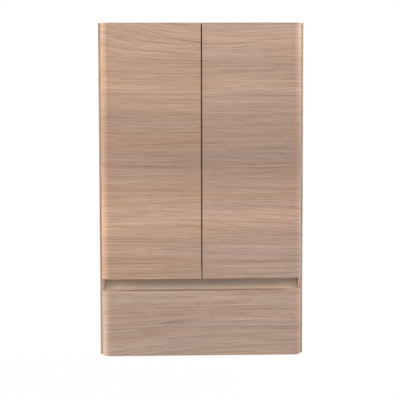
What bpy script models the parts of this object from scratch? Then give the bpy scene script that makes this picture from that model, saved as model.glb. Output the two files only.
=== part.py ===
"""Wall cabinet with two doors, a coved grip channel and one drawer.

Metres, +Z up. The fronts face -Y and the wall is the plane Y = 0. The origin is
the centre of the upper rear rail's back face, where the cabinet meets the wall.
Heights in the constants are measured from the cabinet's underside, and up()
turns such a height into a Z coordinate.
"""

import math

import bmesh
import bpy
from mathutils import Matrix, Vector

# Whole cabinet
WIDTH = 0.700
HEIGHT = 1.140
DEPTH = 0.350
BOARD = 0.016
GAP = 0.0003
ARRIS = 0.0006

# Fronts: two doors and a drawer front, thicker than the boards
FRONT_THICKNESS = 0.036
FRONT_RADIUS = 0.033
FRONT_ROUNDING_STEPS = 12
FRONT_INSET = 0.0065
FRONT_AIR = 0.002
DOOR_GAP = 0.004
DRAWER_FRONT_HEIGHT = 0.226
CHANNEL_HEIGHT = 0.041

# Boards inside
MIDDLE_PANEL_HEIGHT = 0.295
SHELF_COUNT = 2
SHELF_SETBACK = 0.025
SHELF_END_GAP = 0.0012
BACK_THICKNESS = 0.005
GROOVE_DEPTH = 0.007
RAIL_THICKNESS = 0.016
UPPER_RAIL_HEIGHT = 0.100
LOWER_RAIL_HEIGHT = 0.080
UPPER_RAIL_HALF = 0.288

# Shelf pins, in rows of holes near the front and the rear of each side panel
PIN_HOLE_RADIUS = 0.0025
PIN_HOLE_DEPTH = 0.009
PIN_PITCH = 0.032
PIN_FRONT_SETBACK = 0.055
PIN_REAR_Y = -0.065

# Cabinet hangers in the top rear corners
HANGER_WIDTH = 0.018
HANGER_DEPTH = 0.042
HANGER_HEIGHT = 0.062
HANGER_DROP = 0.003
HANGER_WALL = 0.003
HANGER_END_WALL = 0.006
HANGER_POCKET = 0.010
HANGER_SCREW_RADIUS = 0.0035
HANGER_SCREW_SPREAD = 0.012
HOOK_DROP = 0.030
HOOK_EDGE = 0.004
HOOK_WIDTH = 0.010
HOOK_SLOT_HALF = 0.013

# Coved grip strip, as setback from the carcass front and height
COVE_FOOT = (0.008, 0.208)
COVE_HEAD = (0.042, 0.2947)
COVE_SAGITTA = 0.006
COVE_THICKNESS = 0.012
COVE_STEPS = 10

# Concealed hinges, plan positions measured from the door's outer back corner
HINGE_END_DISTANCE = 0.095
AXIS_INSET = 0.006
AXIS_DEPTH = 0.012
CUP_INSET = 0.0225
CUP_RADIUS = 0.0175
CUP_DEPTH = 0.012
CUP_WALL = 0.0012
CUP_PIVOT_INSET = 0.030
CUP_PIVOT_DEPTH = 0.002
ARM_PIVOT_INSET = 0.026
ARM_PIVOT_BEHIND = 0.012
PIN_RADIUS = 0.0015
PIN_CLEARANCE = 0.00025
CENTRE_LINK_HALF = 0.0045
YOKE_INNER = 0.0051
YOKE_OUTER = 0.0063
ARM_INNER = 0.0070
ARM_OUTER = 0.0082
ARM_SETBACK = 0.060
PLATE_SETBACK = 0.037
BUMPER_INSET = 0.022

# Drawer and runners
DRAWER_SIDE_LOW = 0.036
DRAWER_SIDE_HIGH = 0.176
DRAWER_LENGTH = 0.280
DRAWER_BOTTOM_THICKNESS = 0.008
DRAWER_BOTTOM_RISE = 0.010
RUNNER_SPACE = 0.013
RUNNER_LENGTH = 0.270
RUNNER_MID_HEIGHT = 0.106
RUNNER_METAL = 0.0012

HALF_WIDTH = WIDTH / 2
HALF_CLEAR = HALF_WIDTH - BOARD
FACE_Y = -DEPTH
FRONT_BACK_Y = FACE_Y + FRONT_THICKNESS
CARCASS_Y = FRONT_BACK_Y + FRONT_AIR
HALF_FRONT = HALF_WIDTH - FRONT_INSET
DOOR_LOW = DRAWER_FRONT_HEIGHT + CHANNEL_HEIGHT
MIDDLE_TOP = MIDDLE_PANEL_HEIGHT + BOARD
TOP_UNDERSIDE = HEIGHT - BOARD
GROOVE_REAR_Y = -RAIL_THICKNESS
GROOVE_FRONT_Y = GROOVE_REAR_Y - BACK_THICKNESS - 2 * GAP
BACK_FRONT_Y = GROOVE_FRONT_Y + GAP
ORIGIN_HEIGHT = TOP_UNDERSIDE - GAP - UPPER_RAIL_HEIGHT / 2
PIN_DROP = PIN_HOLE_RADIUS + GAP
PIN_ROWS_Y = (CARCASS_Y + PIN_FRONT_SETBACK, PIN_REAR_Y)
HANGER_TOP = TOP_UNDERSIDE - HANGER_DROP
HOOK_FAR = HALF_CLEAR - GAP - HOOK_EDGE
HOOK_NEAR = HOOK_FAR - HOOK_WIDTH
HOOK_HEIGHT = HANGER_TOP - HOOK_DROP
HINGE_HEIGHTS = {"lower": DOOR_LOW + HINGE_END_DISTANCE, "upper": HEIGHT - HINGE_END_DISTANCE}
SIDES = {"left": -1, "right": 1}

# Hinge pivots in plan for the right door; side -1 mirrors them in X. The yoke
# link stays parallel to the line from the door's axis to the cup's pin, so the
# four pivots make a parallelogram at every angle of the door.
DOOR_AXIS = Vector((HALF_FRONT - AXIS_INSET, FRONT_BACK_Y - AXIS_DEPTH))
CUP_PIVOT = Vector((HALF_FRONT - CUP_PIVOT_INSET, FRONT_BACK_Y - CUP_PIVOT_DEPTH))
ARM_PIVOT = Vector((HALF_FRONT - ARM_PIVOT_INSET, FRONT_BACK_Y + ARM_PIVOT_BEHIND))
LINK_PIVOT = ARM_PIVOT + (CUP_PIVOT - DOOR_AXIS)


def up(height):
    """Z coordinate of a height above the cabinet's underside."""
    return height - ORIGIN_HEIGHT


def clear_scene():
    for item in list(bpy.data.objects):
        bpy.data.objects.remove(item, do_unlink=True)


def new_collection(name):
    collection = bpy.data.collections.new(name)
    bpy.context.scene.collection.children.link(collection)
    return collection


def new_material(name, colour, roughness, metallic=0.0):
    material = bpy.data.materials.new(name)
    material.use_nodes = True
    shader = material.node_tree.nodes["Principled BSDF"]
    shader.inputs["Base Color"].default_value = (*colour, 1.0)
    shader.inputs["Roughness"].default_value = roughness
    shader.inputs["Metallic"].default_value = metallic
    return material


clear_scene()
PARTS = new_collection("wall_cabinet")
CUTTERS = new_collection("cutters")

WOOD = new_material("light_wood_decor", (0.50, 0.35, 0.26), 0.45)
BACK_WOOD = new_material("back_board_decor", (0.46, 0.33, 0.25), 0.55)
STEEL = new_material("zinc_plated_steel", (0.62, 0.63, 0.64), 0.32, 1.0)
NICKEL = new_material("nickel_plate", (0.70, 0.69, 0.66), 0.22, 1.0)
RUBBER = new_material("clear_bumper", (0.80, 0.80, 0.78), 0.35)


# Building blocks

def mesh_from(bm, name):
    bmesh.ops.recalc_face_normals(bm, faces=bm.faces)
    mesh = bpy.data.meshes.new(name)
    bm.to_mesh(mesh)
    bm.free()
    return mesh


def place(name, mesh, material=None, parent=None):
    """Add a mesh as a named part, or as a cutter where it has no material."""
    obj = bpy.data.objects.new(name, mesh)
    if material is None:
        CUTTERS.objects.link(obj)
        obj.hide_render = True
        obj.display_type = "WIRE"
        return obj
    mesh.materials.append(material)
    mesh.shade_smooth()
    mesh.set_sharp_from_angle(angle=math.radians(32))
    PARTS.objects.link(obj)
    if parent is not None:
        obj.parent = parent
        obj.location = -world_location(parent)
    return obj


def world_location(empty):
    location = empty.location.copy()
    while empty.parent is not None:
        empty = empty.parent
        location += empty.location
    return location


def axis_empty(name, position, parent=None):
    """An empty on a joint's axis, which carries the pieces that move with it."""
    empty = bpy.data.objects.new(name, None)
    empty.empty_display_size = 0.02
    PARTS.objects.link(empty)
    empty.location = Vector(position)
    if parent is not None:
        empty.parent = parent
        empty.location -= world_location(parent)
    return empty


def add_box(bm, low, high):
    """A cube stretched between two corners, whichever way round they are."""
    low = Vector(low)
    high = Vector(high)
    size = Vector(abs(b - a) for a, b in zip(low, high))
    matrix = Matrix.Translation((low + high) / 2) @ Matrix.Diagonal((*size, 1.0))
    bmesh.ops.create_cube(bm, size=1.0, matrix=matrix)


def add_cylinder(bm, centre, radius, length, axis, segments=24):
    turn = {
        "X": Matrix.Rotation(math.pi / 2, 4, "Y"),
        "Y": Matrix.Rotation(math.pi / 2, 4, "X"),
        "Z": Matrix.Identity(4),
    }[axis]
    bmesh.ops.create_cone(
        bm, cap_ends=True, segments=segments, radius1=radius, radius2=radius,
        depth=length, matrix=Matrix.Translation(centre) @ turn)


def boxes_mesh(name, boxes):
    bm = bmesh.new()
    for low, high in boxes:
        add_box(bm, low, high)
    return mesh_from(bm, name)


def outline_mesh(name, points, low, high, axis):
    """A flat outline filled and extruded from low to high along an axis.

    The points are (x, y) for axis Z, (y, z) for axis X and (x, z) for axis Y.
    """
    curve = bpy.data.curves.new(name, "CURVE")
    curve.dimensions = "2D"
    curve.fill_mode = "BOTH"
    curve.extrude = (high - low) / 2
    spline = curve.splines.new("POLY")
    spline.points.add(len(points) - 1)
    for point, (first, second) in zip(spline.points, points):
        point.co = (first, second, 0.0, 1.0)
    spline.use_cyclic_u = True
    drawn = bpy.data.objects.new(name, curve)
    bpy.context.scene.collection.objects.link(drawn)
    bpy.context.view_layer.update()
    flat = drawn.evaluated_get(bpy.context.evaluated_depsgraph_get())
    mesh = bpy.data.meshes.new_from_object(flat)
    bpy.data.objects.remove(drawn, do_unlink=True)
    bpy.data.curves.remove(curve)

    middle = (low + high) / 2
    columns = {
        "Z": ((1, 0, 0), (0, 1, 0), (0, 0, 1)),
        "X": ((0, 1, 0), (0, 0, 1), (1, 0, 0)),
        "Y": ((1, 0, 0), (0, 0, 1), (0, 1, 0)),
    }[axis]
    matrix = Matrix(columns).transposed().to_4x4()
    matrix.translation = Vector(columns[2]) * middle
    bm = bmesh.new()
    bm.from_mesh(mesh)
    bpy.data.meshes.remove(mesh)
    bmesh.ops.remove_doubles(bm, verts=bm.verts, dist=0.00001)
    bmesh.ops.transform(bm, matrix=matrix, verts=bm.verts)
    return mesh_from(bm, name)


def arc(centre, radius, start, end, steps):
    """Points on an arc between two angles in degrees, both ends included."""
    points = []
    for index in range(steps + 1):
        angle = math.radians(start + (end - start) * index / steps)
        points.append((centre[0] + radius * math.cos(angle), centre[1] + radius * math.sin(angle)))
    return points


def capsule(start, end, radius, steps=8):
    """Outline of a flat link: two round ends joined by straight sides."""
    heading = math.degrees(math.atan2(end[1] - start[1], end[0] - start[0]))
    return (arc(start, radius, heading + 90, heading + 270, steps)
            + arc(end, radius, heading - 90, heading + 90, steps))


def combine(obj, other, operation):
    modifier = obj.modifiers.new(other.name, "BOOLEAN")
    modifier.operation = operation
    modifier.solver = "EXACT"
    modifier.object = other


def cut(obj, name, mesh):
    """Take a cutter's mesh out of a part; the cutter follows the part's parent."""
    cutter = place(name, mesh)
    cutter.parent = obj.parent
    cutter.location = obj.location.copy()
    combine(obj, cutter, "DIFFERENCE")


def join(obj, name, mesh):
    """Weld a second shape to a part by a Boolean union."""
    tool = place(name, mesh)
    tool.parent = obj.parent
    tool.location = obj.location.copy()
    combine(obj, tool, "UNION")


def soften(obj, width, segments=1):
    bevel = obj.modifiers.new("arris", "BEVEL")
    bevel.width = width
    bevel.segments = segments
    bevel.limit_method = "ANGLE"
    bevel.angle_limit = math.radians(60)


def board(name, low, high, parent=None, material=WOOD):
    """A flat board between two corners, with its arrises just broken."""
    obj = place(name, boxes_mesh(name, [(low, high)]), material, parent)
    soften(obj, ARRIS)
    return obj


def cylinders_mesh(name, rows, segments=24):
    """Cylinders given as rows of centre, radius, length and axis."""
    bm = bmesh.new()
    for centre, radius, length, axis in rows:
        add_cylinder(bm, centre, radius, length, axis, segments)
    return mesh_from(bm, name)


def turned(name, profile, steps, matrix, material, parent=None):
    """A turned piece: a profile in the XZ plane screwed round Z, then placed."""
    mesh = bpy.data.meshes.new(name)
    vertices = [(radius, 0.0, height) for radius, height in profile]
    edges = [(index, index + 1) for index in range(len(profile) - 1)]
    mesh.from_pydata(vertices, edges, [])
    obj = bpy.data.objects.new(name, mesh)
    bpy.context.scene.collection.objects.link(obj)
    screw = obj.modifiers.new("turn", "SCREW")
    screw.steps = steps
    screw.render_steps = steps
    screw.use_merge_vertices = True
    screw.merge_threshold = 0.0001
    bpy.context.view_layer.update()
    spun = bpy.data.meshes.new_from_object(obj.evaluated_get(bpy.context.evaluated_depsgraph_get()))
    bpy.data.objects.remove(obj, do_unlink=True)
    bm = bmesh.new()
    bm.from_mesh(spun)
    bpy.data.meshes.remove(spun)
    bmesh.ops.transform(bm, matrix=matrix, verts=bm.verts)
    return place(name, mesh_from(bm, name), material, parent)


# Carcass

def shelf_undersides():
    """Heights of the shelves, which share the upper room evenly."""
    room = TOP_UNDERSIDE - MIDDLE_TOP - SHELF_COUNT * BOARD
    bay = room / (SHELF_COUNT + 1)
    return [MIDDLE_TOP + bay * (n + 1) + BOARD * n for n in range(SHELF_COUNT)]


def pin_holes(side):
    """Hole rows for the shelf pins: one hole in use, one above and one below."""
    rows = []
    for underside in shelf_undersides():
        for y in PIN_ROWS_Y:
            for step in (-1, 0, 1):
                centre = (side * HALF_CLEAR, y, up(underside - PIN_DROP + step * PIN_PITCH))
                rows.append((centre, PIN_HOLE_RADIUS, 2 * PIN_HOLE_DEPTH, "X"))
    return rows


def make_side_panel(name, side):
    panel = board(name, (side * HALF_CLEAR, CARCASS_Y, up(0)), (side * HALF_WIDTH, 0, up(HEIGHT)))
    groove = ((side * (HALF_CLEAR - 0.01), GROOVE_FRONT_Y, up(-0.01)),
              (side * (HALF_CLEAR + GROOVE_DEPTH), GROOVE_REAR_Y, up(HEIGHT + 0.01)))
    cut(panel, name + "_groove", boxes_mesh(name + "_groove", [groove]))
    cut(panel, name + "_holes", cylinders_mesh(name + "_holes", pin_holes(side), 12))


def make_cross_panel(name, low, groove_low, groove_high):
    """Top or bottom panel between the sides, grooved for the back panel."""
    half = HALF_CLEAR - GAP
    panel = board(name, (-half, CARCASS_Y, up(low)), (half, 0, up(low + BOARD)))
    groove = ((-HALF_WIDTH, GROOVE_FRONT_Y, up(groove_low)), (HALF_WIDTH, GROOVE_REAR_Y, up(groove_high)))
    cut(panel, name + "_groove", boxes_mesh(name + "_groove", [groove]))


def make_back_panel():
    half = HALF_CLEAR + GROOVE_DEPTH - 0.0005
    low = BOARD - GROOVE_DEPTH + 0.0005
    high = TOP_UNDERSIDE + GROOVE_DEPTH - 0.0005
    panel = place("back_panel", boxes_mesh("back_panel", [
        ((-half, BACK_FRONT_Y, up(low)), (half, GROOVE_REAR_Y - GAP, up(high)))]), BACK_WOOD)
    slots = []
    for side in SIDES.values():
        near = (side * (HOOK_NEAR - 0.002), GROOVE_FRONT_Y - 0.005, up(HOOK_HEIGHT - HOOK_SLOT_HALF))
        far = (side * (HOOK_FAR + 0.002), 0, up(HOOK_HEIGHT + HOOK_SLOT_HALF))
        slots.append((near, far))
    cut(panel, "hook_slots", boxes_mesh("hook_slots", slots))


def make_cabinet_hanger(name, side):
    """A folded steel case in the corner, with a hook through the back panel.

    The hook is drawn in the YZ plane: a flat shank with a lip turned down.
    """
    outer = side * (HALF_CLEAR - GAP)
    inner = side * (HALF_CLEAR - GAP - HANGER_WIDTH)
    rear = GROOVE_FRONT_Y
    front = rear - HANGER_DEPTH
    case = place(name, boxes_mesh(name, [
        ((inner, front, up(HANGER_TOP - HANGER_HEIGHT)), (outer, rear, up(HANGER_TOP)))]), STEEL)
    soften(case, 0.0015, 2)
    cut(case, name + "_mouth", boxes_mesh(name + "_mouth", [
        ((inner + side * HANGER_WALL, front - 0.01, up(HANGER_TOP - HANGER_HEIGHT + HANGER_END_WALL)),
         (outer - side * HANGER_WALL, front + HANGER_POCKET, up(HANGER_TOP - HANGER_END_WALL)))]))
    middle = up(HOOK_HEIGHT)
    hook = [(rear - 0.006, middle + 0.004), (-0.004, middle + 0.004), (-0.003, middle + 0.003),
            (-0.003, middle - 0.012), (-0.006, middle - 0.012), (-0.007, middle - 0.004),
            (-0.009, middle - 0.003), (rear - 0.006, middle - 0.003)]
    edges = sorted((side * HOOK_NEAR, side * HOOK_FAR))
    join(case, name + "_hook", outline_mesh(name + "_hook", hook, edges[0], edges[1], "X"))
    screws = []
    for rise in (-HANGER_SCREW_SPREAD, HANGER_SCREW_SPREAD):
        centre = ((inner + outer) / 2, front + HANGER_POCKET - 0.001, up(HOOK_HEIGHT + rise))
        screws.append((centre, HANGER_SCREW_RADIUS, 0.008, "Y"))
    join(case, name + "_screws", cylinders_mesh(name + "_screws", screws, 12))


def make_rear_rails():
    top = TOP_UNDERSIDE - GAP
    board("upper_rear_rail", (-UPPER_RAIL_HALF, -RAIL_THICKNESS, up(top - UPPER_RAIL_HEIGHT)),
          (UPPER_RAIL_HALF, 0, up(top)))
    half = HALF_CLEAR - GAP
    board("lower_rear_rail", (-half, -RAIL_THICKNESS, up(BOARD + GAP)),
          (half, 0, up(BOARD + GAP + LOWER_RAIL_HEIGHT)))


def cove_arc(thickness):
    """Arc of the cove through its foot and head, moved back by a thickness.

    The centre lies in front of the strip, on the chord's perpendicular, at the
    distance that gives the stated sagitta.
    """
    foot = Vector((CARCASS_Y + COVE_FOOT[0], up(COVE_FOOT[1])))
    head = Vector((CARCASS_Y + COVE_HEAD[0], up(COVE_HEAD[1])))
    chord = head - foot
    radius = chord.length ** 2 / (8 * COVE_SAGITTA) + COVE_SAGITTA / 2
    forward = Vector((-chord.y, chord.x)).normalized()
    centre = (foot + head) / 2 + forward * (radius - COVE_SAGITTA)
    start = math.degrees(math.atan2(foot.y - centre.y, foot.x - centre.x))
    end = math.degrees(math.atan2(head.y - centre.y, head.x - centre.x))
    return arc(centre, radius + thickness, start, end, COVE_STEPS)


def make_grip_strip():
    """The coved strip that closes the channel between the two side panels."""
    head_z = up(COVE_HEAD[1])
    face = cove_arc(0.0)
    rear = [(y, min(z, head_z)) for y, z in cove_arc(COVE_THICKNESS)]
    half = HALF_CLEAR - GAP
    place("grip_strip", outline_mesh("grip_strip", face + rear[::-1], -half, half, "X"), WOOD)


def make_shelves():
    half = HALF_CLEAR - SHELF_END_GAP
    for name, underside in zip(("lower_shelf", "upper_shelf"), shelf_undersides()):
        board(name, (-half, CARCASS_Y + SHELF_SETBACK, up(underside)),
              (half, GROOVE_FRONT_Y - 0.003, up(underside + BOARD)))


def make_shelf_pins():
    """Turned pins: a stud in the panel, a collar on its face and a rest."""
    profile = [(0.0, -0.0078), (0.0019, -0.0078), (0.0022, -0.0072), (0.0022, 0.0003),
               (0.0036, 0.0003), (0.0036, 0.0008), (0.0025, 0.0010), (0.0025, 0.0076),
               (0.0021, 0.0082), (0.0, 0.0082)][::-1]
    for level, underside in zip(("lower", "upper"), shelf_undersides()):
        for side_name, side in SIDES.items():
            for place_name, y in zip(("front", "rear"), PIN_ROWS_Y):
                turn = Matrix.Rotation(-side * math.pi / 2, 4, "Y")
                spot = Matrix.Translation((side * HALF_CLEAR, y, up(underside - PIN_DROP)))
                turned(f"{level}_shelf_{side_name}_{place_name}_pin", profile, 12, spot @ turn, NICKEL)


# Concealed hinges

def mirrored(points, side):
    return [(side * x, y) for x, y in points]


def plan_mesh(name, points, side, low, high):
    return outline_mesh(name, mirrored(points, side), low, high, "Z")


def pin_mesh(name, point, side, level, half_length, radius=PIN_RADIUS, segments=12):
    centre = (side * point[0], point[1], level)
    return cylinders_mesh(name, [(centre, radius, 2 * half_length, "Z")], segments)


def make_mounting_plate(name, side, level):
    """Winged plate screwed to the side panel, with the block that holds the arm."""
    face = HALF_CLEAR - GAP
    centre_y = CARCASS_Y + PLATE_SETBACK
    wings = [(centre_y - 0.005, -0.024), (centre_y + 0.005, -0.024), (centre_y + 0.007, -0.020),
             (centre_y + 0.008, -0.010), (centre_y + 0.022, -0.0065), (centre_y + 0.022, 0.0065),
             (centre_y + 0.008, 0.010), (centre_y + 0.007, 0.020), (centre_y + 0.005, 0.024),
             (centre_y - 0.005, 0.024), (centre_y - 0.007, 0.020), (centre_y - 0.008, 0.010),
             (centre_y - 0.016, 0.0065), (centre_y - 0.016, -0.0065), (centre_y - 0.008, -0.010),
             (centre_y - 0.007, -0.020)]
    outline = [(y, level + z) for y, z in wings]
    ends = sorted((side * face, side * (face - 0.0018)))
    plate = place(name, outline_mesh(name, outline, ends[0], ends[1], "X"), NICKEL)
    block = ((side * (face - 0.001), centre_y - 0.012, level - 0.0058),
             (side * (face - 0.0072), centre_y + 0.018, level + 0.0058))
    join(plate, name + "_block", boxes_mesh(name + "_block", [block]))


def make_hinge_arm(name, side, level):
    """Pressed channel over the mounting plate, its two cheeks meeting the yoke."""
    foot = HALF_CLEAR - 0.0030
    web = foot - 0.0085
    rear = CARCASS_Y + ARM_SETBACK
    tip = 0.0042
    outline = [(foot, rear), (web + 0.002, rear), (web, rear - 0.002), (web, CARCASS_Y + 0.027)]
    outline += arc(ARM_PIVOT, tip, 150, 330, 8)
    outline += [(foot - 0.003, CARCASS_Y + 0.016), (foot, CARCASS_Y + 0.022)]
    arm = place(name, plan_mesh(name, outline, side, level - ARM_OUTER, level + ARM_OUTER), NICKEL)
    hollow = [((side * (web + 0.0012), CARCASS_Y - 0.01, level - ARM_INNER),
               (side * (foot + 0.01), rear + 0.01, level + ARM_INNER)),
              ((side * (web - 0.02), CARCASS_Y - 0.01, level - ARM_INNER),
               (side * (web + 0.006), CARCASS_Y + 0.024, level + ARM_INNER))]
    for index, box in enumerate(hollow):
        cutter_name = f"{name}_hollow_{index}"
        cut(arm, cutter_name, boxes_mesh(cutter_name, [box]))
    join(arm, name + "_pin", pin_mesh(name + "_pin", ARM_PIVOT, side, level, ARM_OUTER - 0.0002))


def make_yoke_link(name, side, level, parent):
    """Two cheeks round the centre link, joined by the pin they carry."""
    outline = capsule(ARM_PIVOT, LINK_PIVOT, 0.0034)
    yoke = place(name, plan_mesh(name, outline, side, level - YOKE_OUTER, level + YOKE_OUTER),
                 NICKEL, parent)
    slot = ((side * (ARM_PIVOT.x + 0.02), LINK_PIVOT.y + 0.02, level - YOKE_INNER),
            (side * (LINK_PIVOT.x - 0.02), ARM_PIVOT.y - 0.02, level + YOKE_INNER))
    cut(yoke, name + "_slot", boxes_mesh(name + "_slot", [slot]))
    bore = pin_mesh(name + "_bore", ARM_PIVOT, side, level, 0.02, PIN_RADIUS + PIN_CLEARANCE)
    cut(yoke, name + "_bore", bore)
    join(yoke, name + "_pin", pin_mesh(name + "_pin", LINK_PIVOT, side, level, YOKE_OUTER - 0.0002))


def make_centre_link(name, side, level, parent):
    """Solid link from the cup's pin to the yoke's pin, waisted between its eyes."""
    along = (LINK_PIVOT - CUP_PIVOT).normalized()
    across = Vector((-along.y, along.x))
    eye = 0.0036
    waist = 0.0027
    heading = math.degrees(math.atan2(along.y, along.x))
    middle = (CUP_PIVOT + LINK_PIVOT) / 2
    outline = arc(CUP_PIVOT, eye, heading + 110, heading + 250, 8)
    outline.append(tuple(middle - across * waist))
    outline += arc(LINK_PIVOT, eye, heading - 70, heading + 70, 8)
    outline.append(tuple(middle + across * waist))
    link = place(name, plan_mesh(name, outline, side, level - CENTRE_LINK_HALF, level + CENTRE_LINK_HALF),
                 NICKEL, parent)
    for label, point in (("cup", CUP_PIVOT), ("yoke", LINK_PIVOT)):
        bore_name = f"{name}_{label}_bore"
        cut(link, bore_name, pin_mesh(bore_name, point, side, level, 0.02, PIN_RADIUS + PIN_CLEARANCE))


def make_hinge_cup(name, side, level, parent):
    """Pressed cup let into the door, with its flange and the pin across it."""
    centre = Vector((side * (HALF_FRONT - CUP_INSET), FRONT_BACK_Y + GAP, level))
    outer = CUP_RADIUS - GAP
    inner = outer - CUP_WALL
    floor = CUP_DEPTH - GAP
    lip = 0.001
    profile = [(0.0, floor - CUP_WALL), (inner - 0.0008, floor - CUP_WALL),
               (inner, floor - CUP_WALL - 0.0008), (inner, -lip), (outer + 0.001, -lip),
               (outer + 0.001, 0.0), (outer, 0.0), (outer, floor - 0.001),
               (outer - 0.001, floor), (0.0, floor)]
    turn = Matrix.Translation(centre) @ Matrix.Rotation(math.pi / 2, 4, "X")
    cup = turned(name, profile, 28, turn, NICKEL, parent)
    flange = []
    for end in (-1, 1):
        wing = [(end * 0.016, -0.0100), (end * 0.026, -0.0050),
                (end * 0.026, 0.0050), (end * 0.016, 0.0100)]
        corners = [(centre.x + dx, level + dz) for dz, dx in wing]
        flange_name = f"{name}_wing_{'low' if end < 0 else 'high'}"
        flange.append(outline_mesh(flange_name, corners, centre.y, centre.y + lip, "Y"))
    for wing_mesh in flange:
        join(cup, wing_mesh.name, wing_mesh)
    reach = math.sqrt(inner ** 2 - (CUP_PIVOT_INSET - CUP_INSET) ** 2) + CUP_WALL / 2
    join(cup, name + "_pin", pin_mesh(name + "_pin", CUP_PIVOT, side, level, reach))


def make_hinges(side_name, side, door_axis):
    arm_axis = axis_empty(f"{side_name}_yoke_axis", (side * ARM_PIVOT.x, ARM_PIVOT.y, 0))
    cup_axis = axis_empty(f"{side_name}_centre_link_axis", (side * CUP_PIVOT.x, CUP_PIVOT.y, 0),
                          door_axis)
    for place_name, height in HINGE_HEIGHTS.items():
        prefix = f"{side_name}_{place_name}_hinge"
        level = up(height)
        make_mounting_plate(prefix + "_plate", side, level)
        make_hinge_arm(prefix + "_arm", side, level)
        make_yoke_link(prefix + "_yoke", side, level, arm_axis)
        make_centre_link(prefix + "_link", side, level, cup_axis)
        make_hinge_cup(prefix + "_cup", side, level, door_axis)


# Fronts

def front_mesh(name, low_x, high_x, low, high, rounded):
    """A front board whose outer upright edges are rounded on the show face.

    The rounded edges are the upright ones at the front, on the sides named in
    rounded (-1 left, 1 right).
    """
    bm = bmesh.new()
    add_box(bm, (low_x, FACE_Y, up(low)), (high_x, FRONT_BACK_Y, up(high)))
    edges = []
    for edge in bm.edges:
        first, second = (vertex.co for vertex in edge.verts)
        upright = abs(first.z - second.z) > 0.01
        at_face = upright and abs(first.y - FACE_Y) < 0.0001
        if at_face and any(abs(first.x - side * HALF_FRONT) < 0.0001 for side in rounded):
            edges.append(edge)
    bmesh.ops.bevel(bm, geom=edges, offset=FRONT_RADIUS, segments=FRONT_ROUNDING_STEPS,
                    profile=0.5, affect="EDGES")
    return mesh_from(bm, name)


def make_door(side_name, side):
    door_axis = axis_empty(f"{side_name}_door_axis", (side * DOOR_AXIS.x, DOOR_AXIS.y, 0))
    name = f"{side_name}_door"
    low_x, high_x = sorted((side * DOOR_GAP / 2, side * HALF_FRONT))
    door = place(name, front_mesh(name, low_x, high_x, DOOR_LOW, HEIGHT, (side,)), WOOD, door_axis)
    soften(door, ARRIS)
    bores = [((side * (HALF_FRONT - CUP_INSET), FRONT_BACK_Y, up(height)), CUP_RADIUS, 2 * CUP_DEPTH, "Y")
             for height in HINGE_HEIGHTS.values()]
    cut(door, name + "_bores", cylinders_mesh(name + "_bores", bores, 28))
    make_hinges(side_name, side, door_axis)
    heights = {"lower": MIDDLE_PANEL_HEIGHT + BOARD / 2, "upper": HEIGHT - BOARD / 2}
    for place_name, height in heights.items():
        profile = [(0.0, 0.0), (0.0042, 0.0), (0.0040, 0.0007), (0.0026, 0.0014), (0.0, 0.0014)][::-1]
        spot = Matrix.Translation((side * BUMPER_INSET, FRONT_BACK_Y + GAP, up(height)))
        turn = Matrix.Rotation(-math.pi / 2, 4, "X")
        turned(f"{name}_{place_name}_bumper", profile, 12, spot @ turn, RUBBER, door_axis)


# Drawer

def make_drawer():
    travel = axis_empty("drawer_travel", (0, CARCASS_Y, up(RUNNER_MID_HEIGHT)))
    front = place("drawer_front", front_mesh("drawer_front", -HALF_FRONT, HALF_FRONT, 0.0,
                                             DRAWER_FRONT_HEIGHT, (-1, 1)), WOOD, travel)
    soften(front, ARRIS)
    start = FRONT_BACK_Y + GAP
    end = start + DRAWER_LENGTH
    outer = HALF_CLEAR - RUNNER_SPACE
    inner = outer - BOARD
    bottom_low = DRAWER_SIDE_LOW + DRAWER_BOTTOM_RISE
    groove_low = up(bottom_low - GAP)
    groove_high = up(bottom_low + DRAWER_BOTTOM_THICKNESS + GAP)
    reach = 0.006
    for side_name, side in SIDES.items():
        name = f"drawer_{side_name}_side"
        wall = board(name, (side * inner, start, up(DRAWER_SIDE_LOW)),
                     (side * outer, end, up(DRAWER_SIDE_HIGH)), travel)
        groove = ((side * (inner - 0.01), start - 0.01, groove_low),
                  (side * (inner + reach + GAP), end + 0.01, groove_high))
        cut(wall, name + "_groove", boxes_mesh(name + "_groove", [groove]))
    board("drawer_bottom", (-inner - reach, start + GAP, up(bottom_low)),
          (inner + reach, end, up(bottom_low + DRAWER_BOTTOM_THICKNESS)), travel)
    board("drawer_back", (-inner + GAP, end - BOARD, groove_high),
          (inner - GAP, end, up(DRAWER_SIDE_HIGH)), travel)
    make_runners(travel)


def channel(setback_near, setback_far, half_height, metal, lip=0.0):
    """Channel section as setback from the side panel and height.

    The web stands at setback_near and the flanges run to setback_far, where a
    lip may turn back towards the middle.
    """
    step = metal if setback_far > setback_near else -metal
    outline = [(setback_near, -half_height), (setback_far, -half_height)]
    if lip:
        outline += [(setback_far, -half_height + lip), (setback_far - step, -half_height + lip),
                    (setback_far - step, -half_height + metal)]
    else:
        outline += [(setback_far, -half_height + metal)]
    outline += [(setback_near + step, -half_height + metal)]
    return outline + [(setback, -height) for setback, height in reversed(outline)]


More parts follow.
